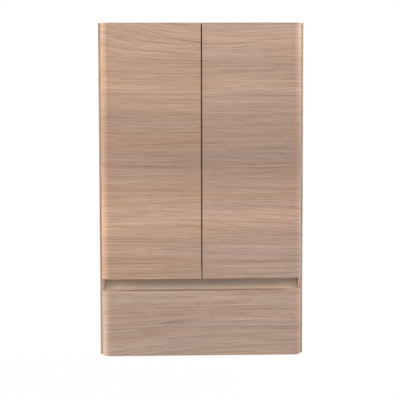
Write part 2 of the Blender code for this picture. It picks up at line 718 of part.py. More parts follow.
def make_runners(travel):
    """Three-part runner on each side: outer on the cabinet, inner on the drawer."""
    middle_travel = axis_empty("runner_middle_travel", (0, CARCASS_Y, up(RUNNER_MID_HEIGHT)))
    sections = {
        "outer": (channel(GAP, 0.0098, 0.0225, RUNNER_METAL, 0.0045), 0.0, None),
        "middle": (channel(0.0028, 0.0108, 0.0170, RUNNER_METAL), 0.002, middle_travel),
        "inner": (channel(RUNNER_SPACE - GAP, 0.0052, 0.0120, RUNNER_METAL), 0.001, travel),
    }
    for side_name, side in SIDES.items():
        for member, (section, inset, parent) in sections.items():
            name = f"{side_name}_runner_{member}"
            points = [(side * (HALF_CLEAR - setback), up(RUNNER_MID_HEIGHT) + height)
                      for setback, height in section]
            start = CARCASS_Y + 0.002 + inset
            mesh = outline_mesh(name, points, start, start + RUNNER_LENGTH - 2 * inset, "Y")
            place(name, mesh, STEEL, parent)


def make_carcass():
    for side_name, side in SIDES.items():
        make_side_panel(f"{side_name}_side_panel", side)
    make_cross_panel("top_panel", TOP_UNDERSIDE, TOP_UNDERSIDE - 0.01, TOP_UNDERSIDE + GROOVE_DEPTH)
    make_cross_panel("bottom_panel", 0.0, BOARD - GROOVE_DEPTH, BOARD + 0.01)
    board("middle_panel", (-HALF_CLEAR + GAP, CARCASS_Y, up(MIDDLE_PANEL_HEIGHT)),
          (HALF_CLEAR - GAP, GROOVE_FRONT_Y, up(MIDDLE_TOP)))
    make_back_panel()
    make_rear_rails()
    make_grip_strip()


def make_fittings():
    make_shelves()
    make_shelf_pins()
    for side_name, side in SIDES.items():
        make_cabinet_hanger(f"{side_name}_cabinet_hanger", side)


make_carcass()
make_fittings()
for door_side, direction in SIDES.items():
    make_door(door_side, direction)
make_drawer()
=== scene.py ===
"""Dressed model of a light wood-effect wall cabinet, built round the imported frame.

Metres, +Z up. The fronts face -Y, the wall is the plane Y = 0, and the origin is the
centre of the upper rear rail's back face. Heights in the constants are measured from
the cabinet's underside, and up() turns such a height into a Z coordinate.
"""

import logging
import math
from collections.abc import Sequence
from dataclasses import dataclass, field
from enum import Enum

import bmesh
import bpy
import numpy as np
from mathutils import Matrix, Vector


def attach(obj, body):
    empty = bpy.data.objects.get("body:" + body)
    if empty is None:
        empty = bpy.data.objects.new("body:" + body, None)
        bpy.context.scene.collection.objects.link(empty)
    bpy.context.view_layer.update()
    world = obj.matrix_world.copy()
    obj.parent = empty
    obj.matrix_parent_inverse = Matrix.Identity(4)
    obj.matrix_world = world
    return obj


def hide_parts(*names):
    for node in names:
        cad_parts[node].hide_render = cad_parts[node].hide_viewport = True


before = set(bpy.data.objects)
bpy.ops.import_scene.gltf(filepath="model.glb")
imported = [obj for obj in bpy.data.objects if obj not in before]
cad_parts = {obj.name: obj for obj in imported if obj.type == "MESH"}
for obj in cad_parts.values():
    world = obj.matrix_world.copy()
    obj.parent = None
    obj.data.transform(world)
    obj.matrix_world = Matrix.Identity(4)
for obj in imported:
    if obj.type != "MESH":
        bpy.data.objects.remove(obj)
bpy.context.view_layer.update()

LOG = logging.getLogger("wall_cabinet")

Array = np.ndarray
Colour = tuple[float, float, float]
Point = tuple[float, float, float]
Material = bpy.types.Material
Node = bpy.types.Node
Socket = bpy.types.NodeSocket

WIDTH = 0.700
DEPTH = 0.350
HEIGHT = 1.140
BOARD = 0.016
FRONT_THICKNESS = 0.036
FRONT_AIR = 0.002
SIDE_REVEAL = 0.0065
DOOR_LOW = 0.267
MIDDLE_LOW = 0.295
HINGE_END = 0.095
CUP_INSET = 0.0225
ORIGIN_HEIGHT = 1.0737
TOUCH = 0.0003
MERGE = 1e-6

FACE_Y = -DEPTH
FRONT_BACK_Y = FACE_Y + FRONT_THICKNESS
CARCASS_Y = FRONT_BACK_Y + FRONT_AIR
HALF_CLEAR = WIDTH / 2 - BOARD
HALF_FRONT = WIDTH / 2 - SIDE_REVEAL
CUP_X = HALF_FRONT - CUP_INSET
HINGE_HEIGHTS = (DOOR_LOW + HINGE_END, HEIGHT - HINGE_END)
LEVELS = ("lower", "upper")


def up(height: float) -> float:
    """Z coordinate of a height above the cabinet's underside."""
    return height - ORIGIN_HEIGHT


class Side(Enum):
    """A side of the cabinet, seen from the front. The value is its sign along X."""

    LEFT = -1
    RIGHT = 1

    def __str__(self) -> str:
        """The side's word in the names of nodes and bodies."""
        return self.name.lower()

    def x(self, distance: float) -> float:
        """X of a place at a distance from the cabinet's middle."""
        return self.value * distance


# Shapes


class Axis(Enum):
    """The direction that a prism or a turned piece runs along.

    The value gives the world axes of a shape's own first, second and running axis.
    """

    X = ((0, 1, 0), (0, 0, 1), (1, 0, 0))
    Y = ((0, 0, 1), (1, 0, 0), (0, 1, 0))
    Z = ((1, 0, 0), (0, 1, 0), (0, 0, 1))

    def to_world(self, points: Array) -> Array:
        """World positions of points given as (first, second, along)."""
        return points @ np.array(self.value, dtype=float)


def full_turn(steps: int) -> Array:
    """Evenly spaced angles once round, in radians."""
    return np.linspace(0.0, 2 * math.pi, steps, endpoint=False)


def arc_points(centre: Sequence[float], radius: float, start: float, end: float,
               steps: int) -> Array:
    """Points on an arc: centre plus radius times (cosine, sine) of evenly spaced angles.

    Args:
        centre: The arc's centre.
        radius: The arc's radius.
        start: First angle in degrees.
        end: Last angle in degrees.
        steps: Number of equal parts.

    Returns:
        The points, of shape (steps + 1, 2).
    """
    angle = np.radians(np.linspace(start, end, steps + 1))
    return np.asarray(centre, dtype=float) + radius * np.stack([np.cos(angle), np.sin(angle)], axis=-1)


def outline_normals(outline: Array) -> Array:
    """Outward normals of a closed anticlockwise outline, made for an even offset.

    Each is the sum of the unit normals of the two edges that meet at the point,
    lengthened so that an inward offset keeps the edges parallel.

    Args:
        outline: Points of shape (count, 2).

    Returns:
        One normal for each point.
    """
    edge = np.roll(outline, -1, axis=0) - outline
    edge /= np.linalg.norm(edge, axis=1, keepdims=True)
    normal = np.stack([edge[:, 1], -edge[:, 0]], axis=-1)
    both = normal + np.roll(normal, 1, axis=0)
    return 2 * both / np.sum(both * both, axis=1, keepdims=True)


@dataclass
class Surface:
    """Grids of points that are joined into one mesh with outward faces."""

    points: list[Array] = field(default_factory=list)
    faces: list[tuple[int, ...]] = field(default_factory=list)
    count: int = 0

    def add_grid(self, grid: Array, wrap_rows: bool = False, wrap_columns: bool = False) -> None:
        """Add a grid of points as quads between its rows and columns.

        Args:
            grid: Points of shape (rows, columns, 3).
            wrap_rows: Whether the last row meets the first one.
            wrap_columns: Whether the last column meets the first one.
        """
        rows, columns = grid.shape[:2]
        row = np.arange(rows if wrap_rows else rows - 1)[:, None]
        column = np.arange(columns if wrap_columns else columns - 1)[None, :]
        next_row = (row + 1) % rows
        next_column = (column + 1) % columns
        corners = np.stack(np.broadcast_arrays(
            row * columns + column, row * columns + next_column,
            next_row * columns + next_column, next_row * columns + column), axis=-1)
        self.faces += [tuple(face) for face in (corners.reshape(-1, 4) + self.count).tolist()]
        self.points.append(grid.reshape(-1, 3))
        self.count += rows * columns

    def add_cap(self, ring: Array) -> None:
        """Close a flat ring of points with one face."""
        self.faces.append(tuple(range(self.count, self.count + len(ring))))
        self.points.append(ring)
        self.count += len(ring)

    def add_tube(self, rings: Array) -> None:
        """Add rings of points, of shape (rings, points, 3), capped at both ends."""
        self.add_grid(rings, wrap_columns=True)
        self.add_cap(rings[0])
        self.add_cap(rings[-1])

    def add_turned(self, profile: Array, centre: Sequence[float], axis: Axis, sign: float,
                   steps: int) -> None:
        """Add a profile of (radius, height) turned round an axis through a centre.

        Point (i, j) is centre plus radius j times (cosine, sine) of angle i, plus
        height j along the axis.

        Args:
            profile: Points of shape (count, 2), which start and end on the axis.
            centre: Where radius and height are nought.
            axis: The axis that the profile is turned round.
            sign: Which way along the axis the heights go.
            steps: Number of angles.
        """
        angle = full_turn(steps)[:, None]
        radius = profile[None, :, 0]
        local = np.stack(np.broadcast_arrays(
            radius * np.cos(angle), radius * np.sin(angle), sign * profile[None, :, 1]), axis=-1)
        self.add_grid(axis.to_world(local) + np.asarray(centre, dtype=float), wrap_rows=True)

    def add_prism(self, outline: Array, low: float, high: float, arris: float, axis: Axis,
                  steps: int) -> None:
        """Add a closed outline carried from low to high, with its end arrises rounded.

        Ring k stands at the quarter circle's height arris * (1 - cos t) from an end and
        is drawn inwards by arris * (1 - sin t), with t going from 0 to 90 degrees.

        Args:
            outline: Anticlockwise points of shape (count, 2).
            low: Where the prism starts along its axis.
            high: Where it ends.
            arris: Radius of the rounded ends.
            axis: The direction that it runs along.
            steps: Rings in each rounded end.
        """
        turn = np.linspace(0.0, math.pi / 2, steps + 1)
        inward = arris * (1 - np.sin(turn))
        rise = arris * (1 - np.cos(turn))
        inward = np.concatenate([inward, inward[::-1]])[:, None, None]
        along = np.concatenate([low + rise, high - rise[::-1]])[:, None, None]
        flat = outline[None, :, :] - inward * outline_normals(outline)[None, :, :]
        along = np.broadcast_to(along, (*flat.shape[:2], 1))
        self.add_tube(axis.to_world(np.concatenate([flat, along], axis=-1)))

    def to_mesh(self, name: str, sharp: float = 35.0) -> bpy.types.Mesh:
        """Join the grids, merge what meets, and turn every face outwards.

        Args:
            name: The mesh's name.
            sharp: Angle in degrees past which an edge is shaded as a crease.

        Returns:
            The finished mesh.
        """
        mesh = bpy.data.meshes.new(name)
        mesh.from_pydata(np.concatenate(self.points).tolist(), [], self.faces)
        shell = bmesh.new()
        shell.from_mesh(mesh)
        bmesh.ops.remove_doubles(shell, verts=shell.verts, dist=MERGE)
        bmesh.ops.dissolve_degenerate(shell, edges=shell.edges, dist=MERGE)
        bmesh.ops.recalc_face_normals(shell, faces=shell.faces)
        shell.to_mesh(mesh)
        shell.free()
        mesh.shade_smooth()
        mesh.set_sharp_from_angle(angle=math.radians(sharp))
        return mesh


# Finishes


@dataclass(frozen=True)
class NodeMaker:
    """A node tree with short calls for the nodes that the finishes use."""

    tree: bpy.types.NodeTree

    def fill(self, node: Node, inputs: dict) -> None:
        """Link each input that is given a socket, and set each that is given a value.

        Args:
            node: The node to fill.
            inputs: Input name or number to a socket or a value.
        """
        for key, value in inputs.items():
            if isinstance(value, Socket):
                self.tree.links.new(value, node.inputs[key])
            else:
                node.inputs[key].default_value = value

    def node(self, kind: str, inputs: dict | None = None, **settings: object) -> Node:
        """Add a node, set its properties, and link or set its inputs.

        Args:
            kind: The node's type, without its common prefix.
            inputs: Input name or number to a socket to link, or to a value.
            **settings: Properties of the node.

        Returns:
            The new node.
        """
        made = self.tree.nodes.new("ShaderNode" + kind)
        for name, value in settings.items():
            setattr(made, name, value)
        self.fill(made, inputs or {})
        return made

    def math(self, operation: str, first: object, second: object = 0.0, third: object = 0.0,
             clamp: bool = False) -> Socket:
        """One Math node on up to three values or sockets."""
        inputs = {0: first, 1: second, 2: third}
        return self.node("Math", inputs, operation=operation, use_clamp=clamp).outputs[0]

    def vector(self, operation: str, first: object, second: object = (0, 0, 0),
               third: object = (0, 0, 0)) -> Socket:
        """One Vector Math node on up to three vectors or sockets."""
        return self.node("VectorMath", {0: first, 1: second, 2: third}, operation=operation).outputs[0]

    def dot(self, first: Socket, second: Socket) -> Socket:
        """The dot product of two vectors."""
        return self.node("VectorMath", {0: first, 1: second}, operation="DOT_PRODUCT").outputs["Value"]

    def triple(self, value: Socket) -> Socket:
        """A vector that holds one value three times."""
        return self.node("CombineXYZ", {index: value for index in range(3)}).outputs[0]

    def component(self, vector: Socket, axis: int) -> Socket:
        """One component of a vector."""
        return self.node("SeparateXYZ", {0: vector}).outputs[axis]

    def facing(self, axis: int) -> Socket:
        """How squarely a face looks along a world axis, either way: from nought to one."""
        normal = self.node("NewGeometry").outputs["Normal"]
        return self.math("ABSOLUTE", self.component(normal, axis))

    def noise(self, vector: Socket, scale: float, detail: float = 2.0, roughness: float = 0.5,
              distortion: float = 0.0) -> Node:
        """A Noise Texture read at a vector."""
        return self.node("TexNoise", {
            "Vector": vector, "Scale": scale, "Detail": detail, "Roughness": roughness,
            "Distortion": distortion})

    def span(self, value: Socket, low: float, high: float, to_low: float = 0.0,
             to_high: float = 1.0, smooth: bool = True) -> Socket:
        """Carry a value from one range to another, clamped at both ends.

        Args:
            value: The value to carry over.
            low: Start of its range.
            high: End of its range.
            to_low: What the start becomes.
            to_high: What the end becomes.
            smooth: Whether it eases in and out, not evenly.

        Returns:
            The value in its new range.
        """
        inputs = {"Value": value, "From Min": low, "From Max": high, "To Min": to_low, "To Max": to_high}
        kind = "SMOOTHSTEP" if smooth else "LINEAR"
        return self.node("MapRange", inputs, interpolation_type=kind).outputs["Result"]

    def mix(self, factor: Socket, first: object, second: object) -> Socket:
        """Mix two colours, by the Mix node's colour inputs 6 and 7 and colour output 2."""
        return self.node("Mix", {0: factor, 6: first, 7: second}, data_type="RGBA").outputs[2]

    def bump(self, height: Socket, strength: float, distance: float) -> Socket:
        """The normal of a surface that a height raises."""
        inputs = {"Height": height, "Strength": strength, "Distance": distance}
        return self.node("Bump", inputs).outputs[0]


def rgba(colour: Colour) -> tuple[float, float, float, float]:
    """A colour with full alpha."""
    return (*colour, 1.0)


def new_material(name: str) -> tuple[Material, NodeMaker, Node, Socket]:
    """A new material with its own nodes.

    Args:
        name: The material's name.

    Returns:
        The material, a maker for its nodes, its shader and its Object coordinates.
    """
    material = bpy.data.materials.new(name)
    material.use_nodes = True
    make = NodeMaker(material.node_tree)
    place = make.node("TexCoord").outputs["Object"]
    return material, make, material.node_tree.nodes["Principled BSDF"], place


def new_group(name: str, inputs: dict[str, str], outputs: dict[str, str]) -> tuple[
        bpy.types.NodeTree, Node, Node, NodeMaker]:
    """An empty shader node group with named sockets.

    Args:
        name: The group's name.
        inputs: Socket name to socket type, such as Float, Vector or Color.
        outputs: The same for what it puts out.

    Returns:
        The group, its input node, its output node and a maker for its nodes.
    """
    group = bpy.data.node_groups.new(name, "ShaderNodeTree")
    for way, sockets in (("INPUT", inputs), ("OUTPUT", outputs)):
        for label, kind in sockets.items():
            group.interface.new_socket(name=label, in_out=way, socket_type="NodeSocket" + kind)
    return group, group.nodes.new("NodeGroupInput"), group.nodes.new("NodeGroupOutput"), NodeMaker(group)


@dataclass(frozen=True)
class GrainFigure:
    """Wood-effect grain: tone bands, streaks, fibre lines, growth rings and pores.

    Every layer is noise whose cells are long along the grain and short across it.
    The whole figure is lifted by a bell-shaped rise about one place, so that the
    lines arch over it, and growth rings are thin lines at an even spacing that
    follow the same rise. The layers darken or lighten one even decor colour. Red
    changes least and blue most, so that dark grain is the warmer one.

    A layer's length and height are its cells per metre along and across the grain.
    """

    sway: float = 0.052
    ripple: float = 0.0030
    rings_per_metre: float = 58.0
    ring_wander: float = 12.0
    ring_width: float = 0.085
    darkest: float = 0.2
    red_power: float = 0.80
    blue_power: float = 1.14
    hue_reach: float = 0.20
    gloss: float = 0.45

    def build(self) -> bpy.types.NodeTree:
        """Make the node group.

        Returns:
            The group, with Color, Roughness and Height.
        """
        group, source, sink, make = new_group(
            "wood_decor_grain",
            {"Vector": "Vector", "Along": "Vector", "Base": "Color", "Warm": "Color",
             "Grey": "Color", "Contrast": "Float", "Away": "Vector", "Rise": "Float"},
            {"Color": "Color", "Roughness": "Float", "Height": "Float"})
        point, along, away = (source.outputs[label] for label in ("Vector", "Along", "Away"))
        across = make.vector("SUBTRACT", (1, 1, 1), along)

        def stretched(vector: Socket, length: float, height: float) -> Socket:
            """The vector times length along the grain and times height across it."""
            lengthwise = make.vector("MULTIPLY", along, (length,) * 3)
            return make.vector("MULTIPLY", vector,
                               make.vector("MULTIPLY_ADD", across, (height,) * 3, lengthwise))

        def wander(length: float, height: float, reach: float) -> Socket:
            """A slow drift across the grain, of half the reach either way at most."""
            drift = make.noise(stretched(point, length, height), 1.0, 1.0).outputs["Color"]
            drift = make.vector("SUBTRACT", drift, (0.5, 0.5, 0.5))
            return make.vector("MULTIPLY", make.vector("MULTIPLY", drift, (reach,) * 3), across)

        bell = make.math("EXPONENT", make.math("MULTIPLY", make.dot(away, away), -1.0))
        lift = make.triple(make.math("MULTIPLY", bell, source.outputs["Rise"]))
        bent = make.vector("ADD", point, wander(1.0, 2.6, self.sway))
        bent = make.vector("ADD", bent, wander(2.4, 16.0, self.ripple))
        bent = make.vector("SUBTRACT", bent, make.vector("MULTIPLY", lift, across))

        def layer(length: float, height: float, detail: float = 2.0,
                  roughness: float = 0.55) -> Socket:
            """Noise about nought, in cells drawn out along the grain."""
            value = make.noise(stretched(bent, length, height), 1.0, detail, roughness)
            return make.math("SUBTRACT", value.outputs["Fac"], 0.5)

        def lines(length: float, height: float, width: float, mask_length: float,
                  mask_height: float) -> Socket:
            """Thin lines where a layer passes through nought, fading in and out by a mask."""
            middle = make.math("ABSOLUTE", layer(length, height, 1.5))
            mask = make.span(layer(mask_length, mask_height, 1.0), -0.08, 0.12)
            return make.math("MULTIPLY", make.span(middle, 0.0, width, 1.0, 0.0), mask)

        band = layer(0.45, 9.0)
        figure = layer(0.9, 36.0, 1.0)
        streak = layer(1.6, 105.0, 1.0, 0.5)
        fibre = layer(2.6, 250.0, 1.0, 0.5)
        splinter = layer(9.0, 290.0, 1.0)
        fine = layer(30.0, 650.0)
        growth = lines(0.7, 34.0, 0.018, 2.0, 22.0)
        hair = lines(1.2, 80.0, 0.032, 2.6, 34.0)
        dash = make.span(layer(24.0, 520.0, 1.0), 0.17, 0.27)

        drift = make.math("MULTIPLY", layer(0.6, 6.0, 1.0), self.ring_wander)
        rings = make.math("MULTIPLY_ADD", make.dot(bent, across), self.rings_per_metre, drift)
        ring = make.span(make.math("PINGPONG", rings, 0.5), 0.0, self.ring_width, 1.0, 0.0)
        patch = make.span(make.math("MULTIPLY_ADD", bell, 0.12, layer(1.6, 8.0, 1.0)), -0.03, 0.06)
        broken = make.span(layer(4.0, 60.0), -0.10, 0.04)
        ring = make.math("MULTIPLY", ring, make.math("MULTIPLY", patch, broken))

        tone = 1.0
        for part, weight in ((band, 0.36), (figure, 0.26), (streak, 0.10), (fibre, 0.95),
                             (splinter, 0.42), (fine, 0.60), (growth, -0.16), (hair, -0.17),
                             (ring, -0.32), (dash, -0.18)):
            tone = make.math("MULTIPLY_ADD", part, weight, tone)
        change = make.math("MULTIPLY", make.math("SUBTRACT", tone, 1.0), source.outputs["Contrast"])
        tone = make.math("MAXIMUM", make.math("ADD", change, 1.0), self.darkest)
        shade = make.node("CombineXYZ", {
            0: make.math("POWER", tone, self.red_power), 1: tone,
            2: make.math("POWER", tone, self.blue_power)}).outputs[0]

        hue = layer(1.0, 20.0)
        warm = make.span(hue, 0.0, self.hue_reach)
        grey = make.span(hue, 0.0, -self.hue_reach)
        colour = make.mix(warm, source.outputs["Base"], source.outputs["Warm"])
        colour = make.mix(grey, colour, source.outputs["Grey"])
        gloss = make.math("MULTIPLY_ADD", fibre, 0.14, self.gloss)
        height = make.math("MULTIPLY_ADD", hair, -0.4, make.math("ADD", fibre, fine))
        make.fill(sink, {
            "Color": make.vector("MULTIPLY", colour, shade),
            "Roughness": make.math("MULTIPLY_ADD", dash, 0.12, gloss),
            "Height": make.math("MULTIPLY_ADD", dash, -0.8, height)})
        return group


@dataclass(frozen=True)
class PlatingFigure:
    """Plated metal: a fine cloudiness, faint rolling lines and handling marks."""

    cloud_scale: float = 160.0
    line_scale: Point = (900.0, 40.0, 900.0)
    mark_scale: float = 420.0

    def build(self) -> bpy.types.NodeTree:
        """Make the node group.

        Returns:
            The group, with Tone, Roughness and Height.
        """
        group, source, sink, make = new_group(
            "plated_metal", {"Vector": "Vector", "Base Roughness": "Float", "Cloud": "Float"},
            {"Tone": "Float", "Roughness": "Float", "Height": "Float"})
        point = source.outputs["Vector"]
        cloud = make.noise(point, self.cloud_scale, 3.0, 0.6).outputs["Fac"]
        lines = make.noise(make.vector("MULTIPLY", point, self.line_scale), 1.0, 1.0).outputs["Fac"]
        marks = make.noise(point, self.mark_scale, 2.0, 0.7, 0.6).outputs["Fac"]
        marks = make.span(marks, 0.60, 0.78)
        cloudy = make.math("MULTIPLY", make.math("SUBTRACT", cloud, 0.5), source.outputs["Cloud"])
        rough = make.math("MULTIPLY_ADD", lines, 0.10, source.outputs["Base Roughness"])
        make.fill(sink, {
            "Tone": make.math("MULTIPLY_ADD", marks, -0.08, make.math("ADD", cloudy, 1.0)),
            "Roughness": make.math("MULTIPLY_ADD", marks, 0.12, rough, clamp=True),
            "Height": lines})
        return group


class Grain(Enum):
    """Which world axes the grain is long along: one where it runs, nought across."""

    FRONTS = (1.0, 1.0, 0.0)
    BOARDS = (1.0, 0.0, 0.0)
    SIDES = (0.0, 1.0, 0.0)


@dataclass(frozen=True)
class Arch:
    """A place that the lines of the grain arch over."""

    middle: Point = (0.0, 0.0, 0.0)
    spread: Point = (1.0, 1.0, 1.0)
    rise: float = 0.0


@dataclass(frozen=True)
class WoodDecor:
    """Satin wood-effect foil with fine grain, printed all over the boards.

    The tones by height hold (share of the cabinet's height, half the tone, warmth): painted light and
    shade down the fronts, with some of the decor's own broad tone.
    """

    name: str
    group: bpy.types.NodeTree
    grain: Grain
    offset: Point
    base: Colour = (0.450, 0.300, 0.216)
    warmth: float = 0.06
    contrast: float = 1.0
    bump: float = 0.10
    bump_depth: float = 0.0004
    height_tones: tuple[tuple[float, float, float], ...] = ()
    arch: Arch = Arch()
    # Painted light: how much lighter the level faces are drawn.
    band_tone: float = 1.0

    def build(self) -> Material:
        """Make the material.

        Returns:
            A material that reads Object coordinates through its own offset.
        """
        material, make, shader, place = new_material(self.name)
        moved = make.node("Mapping", {"Vector": place, "Location": self.offset}).outputs[0]
        if self.grain is Grain.FRONTS:
            moved = self.turn_over_edges(make, place, moved)
        if self.grain is Grain.SIDES:
            moved = self.band_edges(make, moved)
        away = make.vector("SUBTRACT", place, self.arch.middle)
        grain = make.node("Group", {
            "Vector": moved, "Along": self.grain.value, "Base": rgba(self.base),
            "Warm": self.leaning(self.warmth), "Grey": self.leaning(-self.warmth),
            "Contrast": self.contrast, "Rise": self.arch.rise,
            "Away": make.vector("DIVIDE", away, self.arch.spread)}, node_tree=self.group)
        colour = grain.outputs["Color"]
        # Painted light and shade by height, with some of the decor's own tone.
        if self.height_tones:
            colour = self.shade_by_height(make, place, colour)
        # Painted light on the level faces.
        if self.band_tone != 1.0:
            colour = self.lighten_bands(make, colour)
        make.fill(shader, {
            "Base Color": colour, "Roughness": grain.outputs["Roughness"],
            "Normal": make.bump(grain.outputs["Height"], self.bump, self.bump_depth)})
        return material

    def leaning(self, warmth: float) -> tuple[float, float, float, float]:
        """The decor colour with more red and less blue, or the other way if negative."""
        red, green, blue = self.base
        return rgba((red * (1 + warmth / 2), green, blue * (1 - warmth)))

    def turn_over_edges(self, make: NodeMaker, place: Socket, moved: Socket) -> Socket:
        """Count depth as height on level faces, so that the grain stays drawn out there."""
        turned = make.math("MULTIPLY", make.facing(2), make.component(place, 1))
        return make.vector("ADD", moved, make.node("CombineXYZ", {2: turned}).outputs[0])

    def band_edges(self, make: NodeMaker, moved: Socket) -> Socket:
        """Stand the grain upright on front and back edges, as on a glued edge band.

        Args:
            make: The material's maker.
            moved: Where the grain is read elsewhere.

        Returns:
            The same place with its depth and height changed over on those edges.
        """
        edge = make.span(make.facing(1), 0.6, 0.8)
        x, y, z = make.node("SeparateXYZ", {0: moved}).outputs
        turned = make.node("CombineXYZ", {0: x, 1: z, 2: y}).outputs[0]
        step = make.vector("SUBTRACT", turned, moved)
        return make.vector("MULTIPLY_ADD", step, make.triple(edge), moved)

    def lighten_bands(self, make: NodeMaker, colour: Socket) -> Socket:
        """Lighten the level faces, top and bottom, by a set factor: painted light that stands in for the
        light falling on them.
        """
        lit_level = make.vector("MULTIPLY", colour, (self.band_tone,) * 3)
        return make.mix(make.span(make.facing(2), 0.7, 0.95), colour, lit_level)

    def shade_by_height(self, make: NodeMaker, place: Socket, colour: Socket) -> Socket:
        """Paint light and shade by height: broad lighter and darker bands that cross both doors, with
        some of the decor's own broad tone.

        Args:
            make: The material's maker.
            place: Object coordinates.
            colour: The decor's colour.

        Returns:
            The colour times a tone that eases from one height to the next.
        """
        share = make.span(make.component(place, 2), up(0.0), up(HEIGHT), smooth=False)
        ramp = make.node("ValToRGB", {"Fac": share})
        stops = ramp.color_ramp.elements
        while len(stops) < len(self.height_tones):
            stops.new(0.5)
        for stop, (level, tone, warmth) in zip(stops, self.height_tones):
            stop.position = level
            stop.color = (tone * (1 + warmth), tone, tone * (1 - warmth), 1.0)
        ramp.color_ramp.interpolation = "EASE"
        doubled = make.vector("MULTIPLY", ramp.outputs[0], (2.0, 2.0, 2.0))
        return make.vector("MULTIPLY", colour, doubled)


@dataclass(frozen=True)
class PlatedMetal:
    """Plated steel: zinc or nickel, told apart by colour and roughness."""

    name: str
    group: bpy.types.NodeTree
    colour: Colour
    roughness: float
    cloud: float
    bump: float = 0.08
    bump_depth: float = 0.0002

    def build(self) -> Material:
        """Make the material.

        Returns:
            A material whose plating is read at Object coordinates.
        """
        material, make, shader, place = new_material(self.name)
        plating = make.node("Group", {
            "Vector": place, "Base Roughness": self.roughness, "Cloud": self.cloud},
            node_tree=self.group)
        tone = make.triple(plating.outputs["Tone"])
        make.fill(shader, {
            "Metallic": 1.0, "Base Color": make.vector("MULTIPLY", tone, self.colour),
            "Roughness": plating.outputs["Roughness"],
            "Normal": make.bump(plating.outputs["Height"], self.bump, self.bump_depth)})
        return material


@dataclass(frozen=True)
class ClearBuffer:
    """Soft clear buffer gel, a little cloudy inside."""

    clear: Colour = (0.78, 0.79, 0.77)
    cloudy: Colour = (0.90, 0.90, 0.87)
    cloud_scale: float = 500.0
    transmission: float = 0.55
    ior: float = 1.45

    def build(self) -> Material:
        """Make the material.

        Returns:
            A see-through material whose cloudiness is read at Object coordinates.
        """
        material, make, shader, place = new_material("clear_buffer_gel")
        cloud = make.noise(place, self.cloud_scale, 2.0).outputs["Fac"]
        make.fill(shader, {
            "Base Color": make.mix(cloud, rgba(self.clear), rgba(self.cloudy)),
            "Roughness": make.span(cloud, 0.2, 0.8, 0.16, 0.30),
            "Transmission Weight": self.transmission, "IOR": self.ior})
        return material


FRONT_OFFSET = (0.37, 0.0, 2.13)
# Painted light on the fronts' level faces, top and bottom.
FRONT_LEVEL_FACE_LIGHT = 1.5
# Painted light and shade by height on the fronts, with some of the decor's own broad tone.
FRONT_PAINTED_TONES = (
    (0.0, 0.470, 0.0), (0.20, 0.497, 0.0), (0.27, 0.435, -0.02), (0.35, 0.508, -0.02),
    (0.44, 0.560, 0.0), (0.51, 0.430, 0.02), (0.62, 0.375, 0.02), (0.70, 0.410, 0.02),
    (0.80, 0.510, 0.02), (0.87, 0.450, 0.05), (0.91, 0.530, 0.04), (1.0, 0.500, 0.05))


@dataclass
class Finishes:
    """Every finish of the cabinet, built once."""

    left_door: Material = field(init=False)
    right_door: Material = field(init=False)
    drawer_front: Material = field(init=False)
    boards: Material = field(init=False)
    sides: Material = field(init=False)
    drawer: Material = field(init=False)
    strip: Material = field(init=False)
    back: Material = field(init=False)
    zinc: Material = field(init=False)
    nickel: Material = field(init=False)
    buffer: Material = field(init=False)

    def __post_init__(self) -> None:
        """Build the node groups and the materials that use them."""
        grain = GrainFigure().build()
        plating = PlatingFigure().build()

        def front(name: str, base: Colour, arch: Arch) -> Material:
            """A front's decor: one sheet's grain, with its own colour, partly painted light, and its own
            arch.
            """
            return WoodDecor(name, grain, Grain.FRONTS, FRONT_OFFSET, base, arch=arch,
                             height_tones=FRONT_PAINTED_TONES, band_tone=FRONT_LEVEL_FACE_LIGHT).build()

        # The three bases differ partly as painted light: the left door warmer, the right door and the
        # drawer front greyer, as light falls on them.
        self.left_door = front("decor_left_door", (0.460, 0.283, 0.196),
                               Arch((-0.42, 0.0, up(1.12)), (0.26, 1.0, 0.07), 0.060))
        self.right_door = front("decor_right_door", (0.437, 0.279, 0.204),
                                Arch((0.06, 0.0, up(0.695)), (0.060, 1.0, 0.016), 0.012))
        self.drawer_front = front("decor_drawer_front", (0.414, 0.280, 0.214),
                                  Arch((-0.42, 0.0, up(0.0)), (0.24, 1.0, 0.09), -0.060))
        self.boards = WoodDecor("decor_boards", grain, Grain.BOARDS, (1.7, 0.6, 0.2)).build()
        self.sides = WoodDecor("decor_sides", grain, Grain.SIDES, (3.1, 0.4, 0.9)).build()
        self.drawer = WoodDecor("decor_drawer_box", grain, Grain.SIDES, (5.2, 1.1, 0.3)).build()
        # The strip's pale base is painted light: lighter than the fronts' decor, it stands in for more
        # light reaching the cove in the recess under the doors.
        self.strip = WoodDecor("decor_grip_strip", grain, Grain.FRONTS, (2.4, 0.0, 4.4),
                               (0.84, 0.63, 0.49), contrast=0.6).build()
        self.back = WoodDecor("decor_back", grain, Grain.FRONTS, (4.6, 0.0, 1.2), contrast=0.6,
                              bump=0.04).build()
        self.zinc = PlatedMetal("zinc_plate", plating, (0.60, 0.61, 0.62), 0.26, 0.35).build()
        self.nickel = PlatedMetal("nickel_plate", plating, (0.70, 0.69, 0.66), 0.16, 0.12).build()
        self.buffer = ClearBuffer().build()


class Slot(Enum):
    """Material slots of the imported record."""

    WOOD = "light_wood_decor"
    ZINC = "zinc_plated_steel"
    NICKEL = "nickel_plate"
    BUMPER = "clear_bumper"


def add_object(name: str, data: bpy.types.ID) -> bpy.types.Object:
    """Put a mesh, a light or a camera in the scene.

    Args:
        name: The object's name.
        data: What it holds.

    Returns:
        The new object.
    """
    made = bpy.data.objects.new(name, data)
    bpy.context.scene.collection.objects.link(made)
    return made


